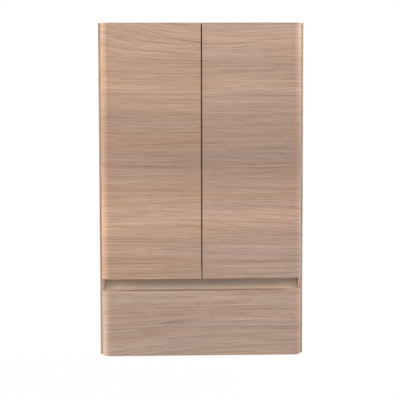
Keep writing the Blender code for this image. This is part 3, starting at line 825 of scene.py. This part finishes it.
def add_piece(surface: Surface, name: str, material: Material, body: str,
              replaces: Sequence[str] = (), sharp: float = 35.0) -> bpy.types.Object:
    """Put a finished surface in the scene as a piece of the cabinet.

    Args:
        surface: The surface to join.
        name: The piece's name.
        material: Its finish.
        body: The moving body that it rides on.
        replaces: Nodes of the frame that it takes the place of.
        sharp: Angle in degrees past which an edge is shaded as a crease.

    Returns:
        The new object, at the origin with its place in its mesh.
    """
    mesh = surface.to_mesh(name, sharp)
    mesh.materials.append(material)
    piece = add_object(name, mesh)
    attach(piece, body)
    if replaces:
        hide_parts(*replaces)
    LOG.info("%s: %d points on %s", name, len(mesh.vertices), body)
    return piece


def dress_nodes(material: Material, *names: str) -> None:
    """Give nodes of the frame their finish.

    Args:
        material: The finish.
        *names: The nodes' names.
    """
    for name in names:
        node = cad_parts[name]
        node.data.materials.clear()
        node.data.materials.append(material)
        LOG.info("%s: dressed with %s", name, material.name)


# Fronts


@dataclass
class FrontLeaf:
    """A front board: flat face, big quarter rounds at its free ends, broken arrises.

    rounded holds the sides that have a big round.
    """

    finish: Material
    name: str
    node: str
    body: str
    low_x: float
    high_x: float
    low: float
    high: float
    rounded: tuple[Side, ...]
    bores: tuple[Point, ...] = ()
    radius: float = 0.033
    radius_steps: int = 48
    arris: float = 0.0008
    arris_steps: int = 4
    crease: float = 50.0
    bore_radius: float = 0.0175
    bore_depth: float = 0.012
    drill_start: float = 0.002
    drill_steps: int = 64

    def outline(self) -> Array:
        """Plan outline, anticlockwise from the left back corner.

        Each corner is an arc: the big radius at a rounded front corner, the arris
        at every other one.

        Returns:
            Points of shape (count, 2).
        """
        left = self.radius if Side.LEFT in self.rounded else self.arris
        right = self.radius if Side.RIGHT in self.rounded else self.arris
        small = self.arris
        corners = (
            ((self.low_x + small, FRONT_BACK_Y - small), small, 90, 180),
            ((self.low_x + left, FACE_Y + left), left, 180, 270),
            ((self.high_x - right, FACE_Y + right), right, 270, 360),
            ((self.high_x - small, FRONT_BACK_Y - small), small, 0, 90),
        )
        return np.concatenate([
            arc_points(centre, radius, start, end,
                       self.radius_steps if radius > small else self.arris_steps)
            for centre, radius, start, end in corners])

    def build(self) -> None:
        """Make the board, with its hinge bores cut, in place of its node."""
        surface = Surface()
        surface.add_prism(self.outline(), up(self.low), up(self.high), self.arris, Axis.Z,
                          self.arris_steps)
        piece = add_piece(surface, self.name, self.finish, self.body, (self.node,),
                          self.crease)
        if self.bores:
            self.cut_bores(piece)

    def cut_bores(self, piece: bpy.types.Object) -> None:
        """Cut a flat-bottomed bore into the back face at each bore's centre.

        Args:
            piece: The board, whose mesh is replaced by the cut one.
        """
        profile = np.array([
            (0.0, -self.drill_start), (self.bore_radius, -self.drill_start),
            (self.bore_radius, self.bore_depth), (0.0, self.bore_depth)])
        drill = Surface()
        for centre in self.bores:
            drill.add_turned(profile, centre, Axis.Y, -1.0, self.drill_steps)
        tool = add_object(self.name + "_drill", drill.to_mesh(self.name + "_drill"))
        modifier = piece.modifiers.new("bores", "BOOLEAN")
        modifier.operation = "DIFFERENCE"
        modifier.solver = "EXACT"
        modifier.object = tool
        bpy.context.view_layer.update()
        cut = piece.evaluated_get(bpy.context.evaluated_depsgraph_get())
        mesh = bpy.data.meshes.new_from_object(cut)
        piece.modifiers.clear()
        piece.data = mesh
        bpy.data.objects.remove(tool, do_unlink=True)


@dataclass
class Fronts:
    """The two doors and the drawer front."""

    finishes: Finishes
    door_gap: float = 0.004
    drawer_height: float = 0.226

    def build(self) -> None:
        """Make the three leaves."""
        doors = {Side.LEFT: self.finishes.left_door, Side.RIGHT: self.finishes.right_door}
        for side in Side:
            low_x, high_x = sorted((side.x(self.door_gap / 2), side.x(HALF_FRONT)))
            bores = tuple((side.x(CUP_X), FRONT_BACK_Y, up(height)) for height in HINGE_HEIGHTS)
            door = f"{side}_door"
            FrontLeaf(doors[side], f"{door}_board", door, f"{door}_leaf",
                      low_x, high_x, DOOR_LOW, HEIGHT, (side,), bores).build()
        FrontLeaf(self.finishes.drawer_front, "drawer_front_board", "drawer_front", "drawer_box",
                  -HALF_FRONT, HALF_FRONT, 0.0, self.drawer_height, tuple(Side)).build()


# Carcass


@dataclass
class Carcass:
    """The boards, the back, the rails and the coved grip strip.

    foot and head hold the cove's setback behind the carcass front, and its height.
    """

    finishes: Finishes
    half_length: float = HALF_CLEAR - TOUCH
    foot: tuple[float, float] = (0.008, 0.208)
    head: tuple[float, float] = (0.042, 0.2947)
    sagitta: float = 0.006
    thickness: float = 0.012
    steps: int = 48

    def build(self) -> None:
        """Dress the boards and make the grip strip."""
        dress_nodes(self.finishes.sides, "left_side_panel", "right_side_panel")
        dress_nodes(self.finishes.boards, "top_panel", "bottom_panel", "middle_panel",
                    "lower_shelf", "upper_shelf", "upper_rear_rail", "lower_rear_rail")
        dress_nodes(self.finishes.back, "back_panel")
        self.build_grip_strip()

    def cove(self, thickness: float) -> Array:
        """Arc of the cove through its foot and head, moved back by a thickness.

        The centre lies in front, on the chord's perpendicular, at the distance
        that gives the stated sagitta s: radius = chord^2 / (8 s) + s / 2.

        Args:
            thickness: How far behind the face the arc lies.

        Returns:
            Points of (depth, Z), from the foot to the head.
        """
        foot = np.array([CARCASS_Y + self.foot[0], up(self.foot[1])])
        head = np.array([CARCASS_Y + self.head[0], up(self.head[1])])
        chord = head - foot
        length = float(np.linalg.norm(chord))
        radius = length ** 2 / (8 * self.sagitta) + self.sagitta / 2
        forward = np.array([-chord[1], chord[0]]) / length
        centre = (foot + head) / 2 + forward * (radius - self.sagitta)
        start, end = (math.degrees(math.atan2(*(point - centre)[::-1])) for point in (foot, head))
        return arc_points(centre, radius + thickness, start, end, self.steps)

    def build_grip_strip(self) -> None:
        """The coved strip between the side panels, smooth enough to show its shade."""
        rear = self.cove(self.thickness)
        rear[:, 1] = np.minimum(rear[:, 1], up(self.head[1]))
        outline = np.concatenate([self.cove(0.0), rear[::-1]])
        ends = [Axis.X.to_world(np.column_stack([outline, np.full(len(outline), x)]))
                for x in (-self.half_length, self.half_length)]
        surface = Surface()
        surface.add_tube(np.stack(ends))
        add_piece(surface, "coved_grip_strip", self.finishes.strip, "cabinet_body",
                  ("grip_strip",))


@dataclass
class DrawerBox:
    """The drawer's sides, back and bottom."""

    finishes: Finishes

    def build(self) -> None:
        """Dress the drawer's boards."""
        dress_nodes(self.finishes.drawer, "drawer_left_side", "drawer_right_side")
        dress_nodes(self.finishes.boards, "drawer_back")
        dress_nodes(self.finishes.back, "drawer_bottom")


# Hardware


@dataclass(frozen=True)
class ScrewHead:
    """A cross-recessed head on a round rim, facing one way along an axis.

    arm_width, arm_length and depth are shares of the head's radius. The recess's
    wall ends at wall_end arm widths, and its tip at tip_end arm lengths.
    """

    centre: Point
    radius: float
    axis: Axis
    sign: float
    turn: float
    rise: float = 0.0006
    rim: float = 0.0005
    steps: int = 48
    arm_width: float = 0.16
    arm_length: float = 0.62
    depth: float = 0.55
    taper: float = 0.4
    wall_end: float = 1.35
    tip_end: float = 1.1
    tip_slope: float = 2.2

    def add_to(self, surface: Surface) -> None:
        """Add the rim and the recessed face, with a flat underside.

        Args:
            surface: The surface that takes the head in.
        """
        along = np.array(self.axis.value[2], dtype=float) * self.sign * self.rim
        seat = np.asarray(self.centre, dtype=float)
        surface.add_grid(self.axis.to_world(self.face()) + seat + along, wrap_rows=True)
        angle = full_turn(self.steps) + self.turn
        ring = self.radius * np.stack([np.cos(angle), np.sin(angle), 0 * angle], axis=-1)
        ring = self.axis.to_world(ring) + seat
        surface.add_grid(np.stack([ring, ring + along]), wrap_columns=True)
        surface.add_cap(ring)

    def face(self) -> Array:
        """The head's face in its own axes: a shallow dome with a cross-shaped recess.

        Height is rise * (1 - (r / radius)^2) less a recess that follows the nearer arm
        of the cross: its depth falls off smoothly with the distance from the arm's
        middle and towards the arm's tip.

        Returns:
            Points of shape (angles, radii, 3).
        """
        angle = full_turn(self.steps)[:, None]
        inner = np.linspace(0.12, self.arm_length, 8)
        share = np.concatenate([[0.0], inner, [0.7, 0.8, 0.92, 1.0]])[None, :]
        x = np.abs(share * np.cos(angle))
        y = np.abs(share * np.sin(angle))
        length = np.maximum(x, y) / self.arm_length
        wall = np.clip(self.wall_end - np.minimum(x, y) / self.arm_width, 0, 1)
        tip = np.clip((self.tip_end - length) * self.tip_slope, 0, 1)
        recess = self.depth * self.radius * wall * tip * (1 - self.taper * length)
        height = self.rise * (1 - share ** 2) - recess
        reach = self.radius * share
        return np.stack([reach * np.cos(angle + self.turn), reach * np.sin(angle + self.turn),
                         self.sign * height], axis=-1)


@dataclass
class Hinges:
    """Four concealed hinges: plate, arm, links and cup, with their screws.

    half_wing holds one half of a cup wing's outline, as (reach from the cup's middle,
    half width). adjusters holds (setback, radius) of the adjusting screws.
    """

    finishes: Finishes
    cup_radius: float = 0.0172
    cup_depth: float = 0.0117
    cup_wall: float = 0.0012
    floor_round: float = 0.0016
    mouth_round: float = 0.0006
    lip_reach: float = 0.0008
    flange: float = 0.001
    half_wing: tuple[tuple[float, float], ...] = (
        (0.0150, 0.0095), (0.0240, 0.0062), (0.0262, 0.0040))
    wing_arris: float = 0.0003
    wing_screw: float = 0.0205
    wing_screw_radius: float = 0.0030
    pivot: tuple[float, float] = (0.3135, FRONT_BACK_Y - 0.002)
    pin_radius: float = 0.0015
    pin_arris: float = 0.0002
    pin_steps: int = 24
    cup_steps: int = 64
    plate_face: float = TOUCH + 0.0018
    plate_screw: tuple[float, float] = (0.037, 0.016)
    plate_screw_radius: float = 0.0033
    arm_face: float = 0.0115
    adjusters: tuple[tuple[float, float], ...] = ((0.0320, 0.0029), (0.0500, 0.0033))

    def build(self) -> None:
        """Dress every hinge and add its cup and screws."""
        for side in Side:
            for level_name, height in zip(LEVELS, HINGE_HEIGHTS):
                prefix = f"{side}_{level_name}_hinge"
                dress_nodes(self.finishes.nickel,
                            *(f"{prefix}_{part}" for part in ("plate", "arm", "yoke", "link")))
                self.build_cup(prefix, side, up(height))
                self.build_plate_screws(prefix, side, up(height))

    def cup_profile(self) -> Array:
        """Radius and depth of the cup's shell.

        It goes down inside the wall from the middle of the floor's inside, round a
        thin rolled lip, and along the outside back to the middle.

        Returns:
            Points of shape (count, 2).
        """
        outer, inner = self.cup_radius, self.cup_radius - self.cup_wall
        floor, lip, small = self.cup_depth, self.flange, self.mouth_round
        inside = floor - self.cup_wall
        edge = self.floor_round
        return np.concatenate([
            [(0.0, inside)],
            arc_points((inner - edge, inside - edge), edge, 90, 0, 6),
            arc_points((inner + small, small - lip), small, 180, 270, 5),
            arc_points((outer + self.lip_reach, -lip / 2), lip / 2, -90, 90, 6),
            [(outer, 0.0)],
            arc_points((outer - edge, floor - edge), edge, 0, 90, 6),
            [(0.0, floor)],
        ])

    def build_cup(self, prefix: str, side: Side, level: float) -> None:
        """The pressed cup: a turned shell, two flange wings, their screws and the pin.

        Args:
            prefix: The hinge's name.
            side: The door's side.
            level: Z of the cup's middle.
        """
        face = FRONT_BACK_Y + TOUCH
        middle = side.x(CUP_X)
        surface = Surface()
        surface.add_turned(self.cup_profile(), (middle, face, level), Axis.Y, -1.0, self.cup_steps)
        half = np.array(self.half_wing)
        wing = np.concatenate([half * (1, -1), half[::-1]])
        for end in (-1, 1):
            outline = np.column_stack([level + end * wing[:, 0], middle + wing[:, 1]])[::end]
            surface.add_prism(outline, face, face + self.flange, self.wing_arris, Axis.Y, 2)
            screw = (middle, face + self.flange, level + end * self.wing_screw)
            ScrewHead(screw, self.wing_screw_radius, Axis.Y, 1.0, 0.5 + end).add_to(surface)
        inner = self.cup_radius - self.cup_wall
        reach = math.sqrt(inner ** 2 - (CUP_X - self.pivot[0]) ** 2) + self.cup_wall / 2
        pivot = (side.x(self.pivot[0]), self.pivot[1])
        pin = arc_points(pivot, self.pin_radius, 0, 360, self.pin_steps)[:-1]
        surface.add_prism(pin, level - reach, level + reach, self.pin_arris, Axis.Z, 1)
        add_piece(surface, f"{prefix}_pressed_cup", self.finishes.nickel, f"{side}_door_leaf",
                  (f"{prefix}_cup",))

    def build_plate_screws(self, prefix: str, side: Side, level: float) -> None:
        """Two screws through the plate's wings, and two adjusting screws in the arm.

        Args:
            prefix: The hinge's name.
            side: The side panel's side.
            level: Z of the hinge's middle.
        """
        setback, spread = self.plate_screw
        heads = [(self.plate_face, setback, end * spread, self.plate_screw_radius, 0.9 * end)
                 for end in (-1, 1)]
        heads += [(self.arm_face, behind, 0.0, radius, 40 * behind) for behind, radius in self.adjusters]
        surface = Surface()
        for inset, behind, rise, radius, turn in heads:
            centre = (side.x(HALF_CLEAR - inset), CARCASS_Y + behind, level + rise)
            ScrewHead(centre, radius, Axis.X, -side.value, turn).add_to(surface)
        add_piece(surface, f"{prefix}_screws", self.finishes.zinc, "cabinet_body")


@dataclass(frozen=True)
class BallRow:
    """Where a runner's balls run between two of its channels.

    setback is from the side panel's face, height from the runner's middle, up and
    down, and start from the runner's front end.
    """

    name: str
    body: str
    setback: float
    height: float
    radius: float
    start: float


@dataclass
class Runners:
    """Ball-bearing runners: three channels a side, with their ball rows and cages."""

    finishes: Finishes
    middle: float = 0.106
    front_y: float = CARCASS_Y + 0.002
    pitch: float = 0.0062
    balls: int = 9
    half_strip: tuple[float, float] = (0.00025, 0.0021)
    strip_margin: float = 0.004
    strip_arris: float = 0.0001
    ball_rings: int = 6
    ball_steps: int = 10
    rows: tuple[BallRow, ...] = (
        BallRow("outer_balls", "cabinet_body", 0.0058, 0.01915, 0.0021, 0.006),
        BallRow("inner_balls", "runner_middles", 0.0080, 0.0139, 0.00185, 0.009))

    def build(self) -> None:
        """Dress the channels and lay a row of balls at each pair of flanges."""
        for side in Side:
            dress_nodes(self.finishes.zinc,
                        *(f"{side}_runner_{member}" for member in ("outer", "middle", "inner")))
            for row in self.rows:
                self.build_balls(side, row)

    def build_balls(self, side: Side, row: BallRow) -> None:
        """Two rows of balls in pierced strips, above and below the runner's middle.

        A ball is its radius times the sine and cosine of latitude, turned round Z.

        Args:
            side: The runner's side.
            row: Where the balls run.
        """
        latitude = np.linspace(0.0, math.pi, self.ball_rings + 1)
        ball = row.radius * np.stack([np.sin(latitude), -np.cos(latitude)], axis=-1)
        x = side.x(HALF_CLEAR - row.setback)
        first = self.front_y + row.start
        last = first + (self.balls - 1) * self.pitch
        thin, wide = self.half_strip
        strip = np.array([(thin, -wide), (thin, wide), (-thin, wide), (-thin, -wide)])
        surface = Surface()
        for end in (-1, 1):
            z = up(self.middle) + end * row.height
            for index in range(self.balls):
                place = (x, first + index * self.pitch, z)
                surface.add_turned(ball, place, Axis.Z, 1.0, self.ball_steps)
            surface.add_prism(strip + (z, x), first - self.strip_margin, last + self.strip_margin,
                              self.strip_arris, Axis.Y, 1)
        add_piece(surface, f"{side}_{row.name}", self.finishes.zinc, row.body)


@dataclass(frozen=True)
class ShelfPin:
    """A turned pin: a stud in the panel, a collar on its face, and a rest."""

    stud: tuple[float, float] = (0.0022, 0.0078)
    stud_round: float = 0.0005
    collar: float = 0.0036
    collar_edge: float = 0.0001
    rest: tuple[float, float] = (0.0025, 0.0082)
    rest_round: float = 0.0008

    def profile(self) -> Array:
        """Radius and height along the pin, with rounded ends.

        Returns:
            Points of shape (count, 2), from the stud's end to the rest's end.
        """
        (stud, depth), (rest, reach) = self.stud, self.rest
        edge = self.collar - self.collar_edge
        return np.concatenate([
            [(0.0, -depth)],
            arc_points((stud - self.stud_round, self.stud_round - depth), self.stud_round, 270, 360, 4),
            [(stud, TOUCH), (edge, TOUCH), (self.collar, 0.0005), (edge, 0.0008), (rest, 0.0010)],
            arc_points((rest - self.rest_round, reach - self.rest_round), self.rest_round, 0, 90, 5),
            [(0.0, reach)]])


@dataclass
class Fittings:
    """Hangers, shelf pins, cam covers and door buffers.

    cam_rows holds, for the top and the middle panel, its underside's height and the
    depths of its two rows of cam fittings.
    """

    finishes: Finishes
    pin_rows: tuple[float, float] = (CARCASS_Y + 0.055, -0.065)
    pin_drop: float = 0.0028
    hanger_screw: Point = (0.0093, -0.0586, 1.091)
    hanger_spread: float = 0.012
    hanger_screw_radius: float = 0.0034
    buffer_x: float = 0.022
    buffer_radius: float = 0.0042
    buffer_wall: float = 0.0004
    buffer_dome: float = 0.0010
    cover_radius: float = 0.0089
    cover_rise: float = 0.0006
    cover_round: float = 0.0004
    cover_taper: float = 0.0001
    cover_steps: int = 40
    small_steps: int = 32
    dome_steps: int = 8
    cam_inset: float = 0.026
    cam_rows: tuple[tuple[float, tuple[float, float]], ...] = (
        (HEIGHT - BOARD, (-0.285, -0.100)), (MIDDLE_LOW, (-0.235, -0.060)))

    def build(self) -> None:
        """Dress and add every fitting."""
        for side in Side:
            dress_nodes(self.finishes.zinc, f"{side}_cabinet_hanger")
            self.build_hanger_screws(side)
            self.build_buffers(side)
        self.build_pins()
        self.build_cam_covers()

    def build_hanger_screws(self, side: Side) -> None:
        """Cross-recessed faces on the two adjusting screws of a hanger.

        Args:
            side: The hanger's side.
        """
        inset, y, height = self.hanger_screw
        surface = Surface()
        for rise in (-self.hanger_spread, self.hanger_spread):
            centre = (side.x(HALF_CLEAR - inset), y, up(height + rise))
            ScrewHead(centre, self.hanger_screw_radius, Axis.Y, -1.0, 30 * rise).add_to(surface)
        add_piece(surface, f"{side}_hanger_screws", self.finishes.nickel, "cabinet_body")

    def build_buffers(self, side: Side) -> None:
        """Domed clear buffers near the doors' meeting edges.

        They stand against the middles of the middle and top panels' front edges. The
        profile is a flat foot, a short wall and a quarter ellipse over it.

        Args:
            side: The door's side.
        """
        radius = self.buffer_radius
        angle = np.linspace(0.0, math.pi / 2, self.dome_steps + 1)
        rise = self.buffer_wall + self.buffer_dome * np.sin(angle)
        dome = np.column_stack([radius * np.cos(angle), rise])
        profile = np.concatenate([[(0.0, 0.0), (radius, 0.0)], dome])
        for level_name, height in zip(LEVELS, (MIDDLE_LOW + BOARD / 2, HEIGHT - BOARD / 2)):
            centre = (side.x(self.buffer_x), FRONT_BACK_Y + TOUCH, up(height))
            surface = Surface()
            surface.add_turned(profile, centre, Axis.Y, 1.0, self.small_steps)
            add_piece(surface, f"{side}_{level_name}_door_buffer", self.finishes.buffer,
                      f"{side}_door_leaf", (f"{side}_door_{level_name}_bumper",))

    def build_pins(self) -> None:
        """Shelf pins under both shelves, which part the door space in three even bays."""
        profile = ShelfPin().profile()
        floor = MIDDLE_LOW + BOARD
        bay = (HEIGHT - BOARD - floor - 2 * BOARD) / 3
        for level_name, height in zip(LEVELS, (floor + bay, floor + 2 * bay + BOARD)):
            for side in Side:
                surface = Surface()
                for y in self.pin_rows:
                    centre = (side.x(HALF_CLEAR), y, up(height - self.pin_drop))
                    surface.add_turned(profile, centre, Axis.X, -side.value, self.small_steps)
                nodes = [f"{level_name}_shelf_{side}_{end}_pin" for end in ("front", "rear")]
                add_piece(surface, f"{level_name}_{side}_shelf_pins", self.finishes.nickel,
                          "cabinet_body", nodes)

    def build_cam_covers(self) -> None:
        """Thin round covers over the cam fittings, under the top and middle panels."""
        radius, rise, edge = self.cover_radius, self.cover_rise, self.cover_round
        profile = np.concatenate([
            [(0.0, 0.0), (radius - self.cover_taper, 0.0)],
            arc_points((radius - edge, rise - edge), edge, 0, 90, 4), [(0.0, rise)]])
        surface = Surface()
        for height, depths in self.cam_rows:
            for side in Side:
                for y in depths:
                    centre = (side.x(HALF_CLEAR - self.cam_inset), y, up(height))
                    surface.add_turned(profile, centre, Axis.Z, -1.0, self.cover_steps)
        add_piece(surface, "cam_covers", self.finishes.boards, "cabinet_body")


# Studio


@dataclass(frozen=True)
class SoftLamp:
    """A rectangular studio lamp aimed at a point."""

    name: str
    position: Point
    size: tuple[float, float]
    power: float
    colour: Colour
    target: Point = (0.0, -0.3, up(0.6))

    def build(self) -> None:
        """Add the lamp."""
        lamp = bpy.data.lights.new(self.name, "AREA")
        lamp.shape = "RECTANGLE"
        lamp.size, lamp.size_y = self.size
        lamp.energy = self.power
        lamp.color = self.colour
        holder = add_object(self.name, lamp)
        holder.location = self.position
        aim = Vector(self.target) - Vector(self.position)
        holder.rotation_euler = aim.to_track_quat("-Z", "Y").to_euler()


# Four at the left, two at the right, one in front and one behind.
LAMPS = (
    SoftLamp("left_soft_lamp", (-3.03, -2.05, up(1.47)), (0.8, 1.2), 41.8, (1.0, 0.82, 0.77)),
    SoftLamp("left_upper_edge_lamp", (-2.62, 0.11, up(2.01)), (0.7, 1.0), 37.0, (0.90, 1.0, 0.98)),
    SoftLamp("left_lower_edge_lamp", (-2.96, 0.17, up(0.39)), (0.7, 1.0), 15.5, (1.0, 0.82, 0.60)),
    SoftLamp("left_low_corner_lamp", (-1.08, -0.38, up(-0.22)), (0.3, 0.3), 2.8, (1.0, 0.98, 0.95),
             (-0.34, -0.33, up(0.0))),
    SoftLamp("right_soft_lamp", (2.62, -2.5, up(1.71)), (0.5, 0.8), 28.5, (1.0, 0.86, 0.89)),
    SoftLamp("right_edge_lamp", (2.66, 0.05, up(2.00)), (0.7, 1.0), 56.0, (0.97, 0.98, 1.0)),
    SoftLamp("front_soft_lamp", (0.0, -4.30, up(1.75)), (2.0, 2.6), 59.0, (0.83, 0.99, 1.0)),
    SoftLamp("rear_soft_lamp", (0.4, 3.4, up(2.0)), (2.4, 1.6), 70.0, (1.0, 0.98, 0.96)),
)


@dataclass
class Studio:
    """Floor, world, lamps and camera.

    The floor is shown white in part, floor_white of it as far as floor_near from the
    cabinet and all of it past floor_far. Angles of the camera are in degrees.
    """

    white: Colour = (1.0, 1.0, 1.0)
    floor_height: float = -0.42
    floor_reach: float = 40.0
    floor_colour: Colour = (0.86, 0.86, 0.85)
    floor_roughness: float = 0.9
    floor_white: float = 0.85
    floor_near: float = 0.8
    floor_far: float = 2.6
    ambient: float = 0.18
    camera_place: Point = (-0.180, -5.108, -0.102)
    yaw: float = 2.094
    pitch: float = 5.199
    roll: float = -0.131
    focal_pixels: float = 1400.0
    frame_pixels: float = 400.0
    sensor: float = 36.0
    far_clip: float = 120.0

    def build(self) -> None:
        """Make the whole studio."""
        self.build_world()
        self.build_floor()
        for lamp in LAMPS:
            lamp.build()
        self.build_camera()
        bpy.context.scene.view_settings.view_transform = "Standard"

    def shown_white(self, make: NodeMaker) -> Socket:
        """One for camera, glossy and transmission rays, nought for the others."""
        path = make.node("LightPath")
        seen = make.math("MAXIMUM", path.outputs["Is Camera Ray"], path.outputs["Is Glossy Ray"])
        return make.math("MAXIMUM", seen, path.outputs["Is Transmission Ray"])

    def build_world(self) -> None:
        """White where it is seen, and a plain even fill where it lights."""
        world = bpy.data.worlds.new("studio")
        world.use_nodes = True
        bpy.context.scene.world = world
        make = NodeMaker(world.node_tree)
        fill = world.node_tree.nodes["Background"]
        make.fill(fill, {"Color": rgba(self.white), "Strength": self.ambient})
        glow = make.node("Background", {"Color": rgba(self.white), "Strength": 1.0})
        share = self.shown_white(make)
        both = make.node("MixShader", {0: share, 1: fill.outputs[0], 2: glow.outputs[0]})
        make.fill(world.node_tree.nodes["World Output"], {"Surface": both.outputs[0]})

    def build_floor(self) -> None:
        """A plain pale floor under the cabinet, which keeps its soft shadow."""
        steps = np.linspace(-self.floor_reach, self.floor_reach, 3)
        x, y = np.meshgrid(steps, steps, indexing="ij")
        surface = Surface()
        surface.add_grid(np.stack([x, y, np.full_like(x, up(self.floor_height))], axis=-1))
        mesh = surface.to_mesh("studio_floor")
        material, make, shader, place = new_material("pale_floor")
        make.fill(shader, {"Base Color": rgba(self.floor_colour), "Roughness": self.floor_roughness})
        glow = make.node("Emission", {"Color": rgba(self.white), "Strength": 1.0})
        level = make.vector("MULTIPLY", place, (1.0, 1.0, 0.0))
        distance = make.node("VectorMath", {0: level}, operation="LENGTH").outputs["Value"]
        part = make.span(distance, self.floor_near, self.floor_far, self.floor_white, 1.0)
        share = make.math("MULTIPLY", self.shown_white(make), part)
        both = make.node("MixShader", {0: share, 1: shader.outputs[0], 2: glow.outputs[0]})
        make.fill(material.node_tree.nodes["Material Output"], {"Surface": both.outputs[0]})
        mesh.materials.append(material)
        add_object("studio_floor", mesh)

    def build_camera(self) -> None:
        """The photograph's view: a long lens, a little above the cabinet's middle."""
        yaw, pitch, roll = (math.radians(angle) for angle in (self.yaw, self.pitch, self.roll))
        forward = Vector((math.sin(yaw) * math.cos(pitch), math.cos(yaw) * math.cos(pitch),
                          -math.sin(pitch)))
        level = Vector((math.cos(yaw), -math.sin(yaw), 0.0))
        upright = level.cross(forward)
        right = math.cos(roll) * level + math.sin(roll) * upright
        above = math.cos(roll) * upright - math.sin(roll) * level
        turn = Matrix((right, above, -forward)).transposed().to_4x4()
        lens = bpy.data.cameras.new("photo_camera")
        lens.sensor_width = self.sensor
        lens.lens = self.sensor * self.focal_pixels / self.frame_pixels
        lens.clip_end = self.far_clip
        camera = add_object("photo_camera", lens)
        camera.matrix_world = Matrix.Translation(self.camera_place) @ turn
        bpy.context.scene.camera = camera


def main() -> None:
    """Build the cabinet's pieces and the studio in order."""
    logging.basicConfig(level=logging.INFO, format="%(message)s")
    finishes = Finishes()
    for sub_assembly in (Carcass, Fronts, DrawerBox, Hinges, Runners, Fittings):
        sub_assembly(finishes).build()
    Studio().build()


if __name__ == "__main__":
    main()
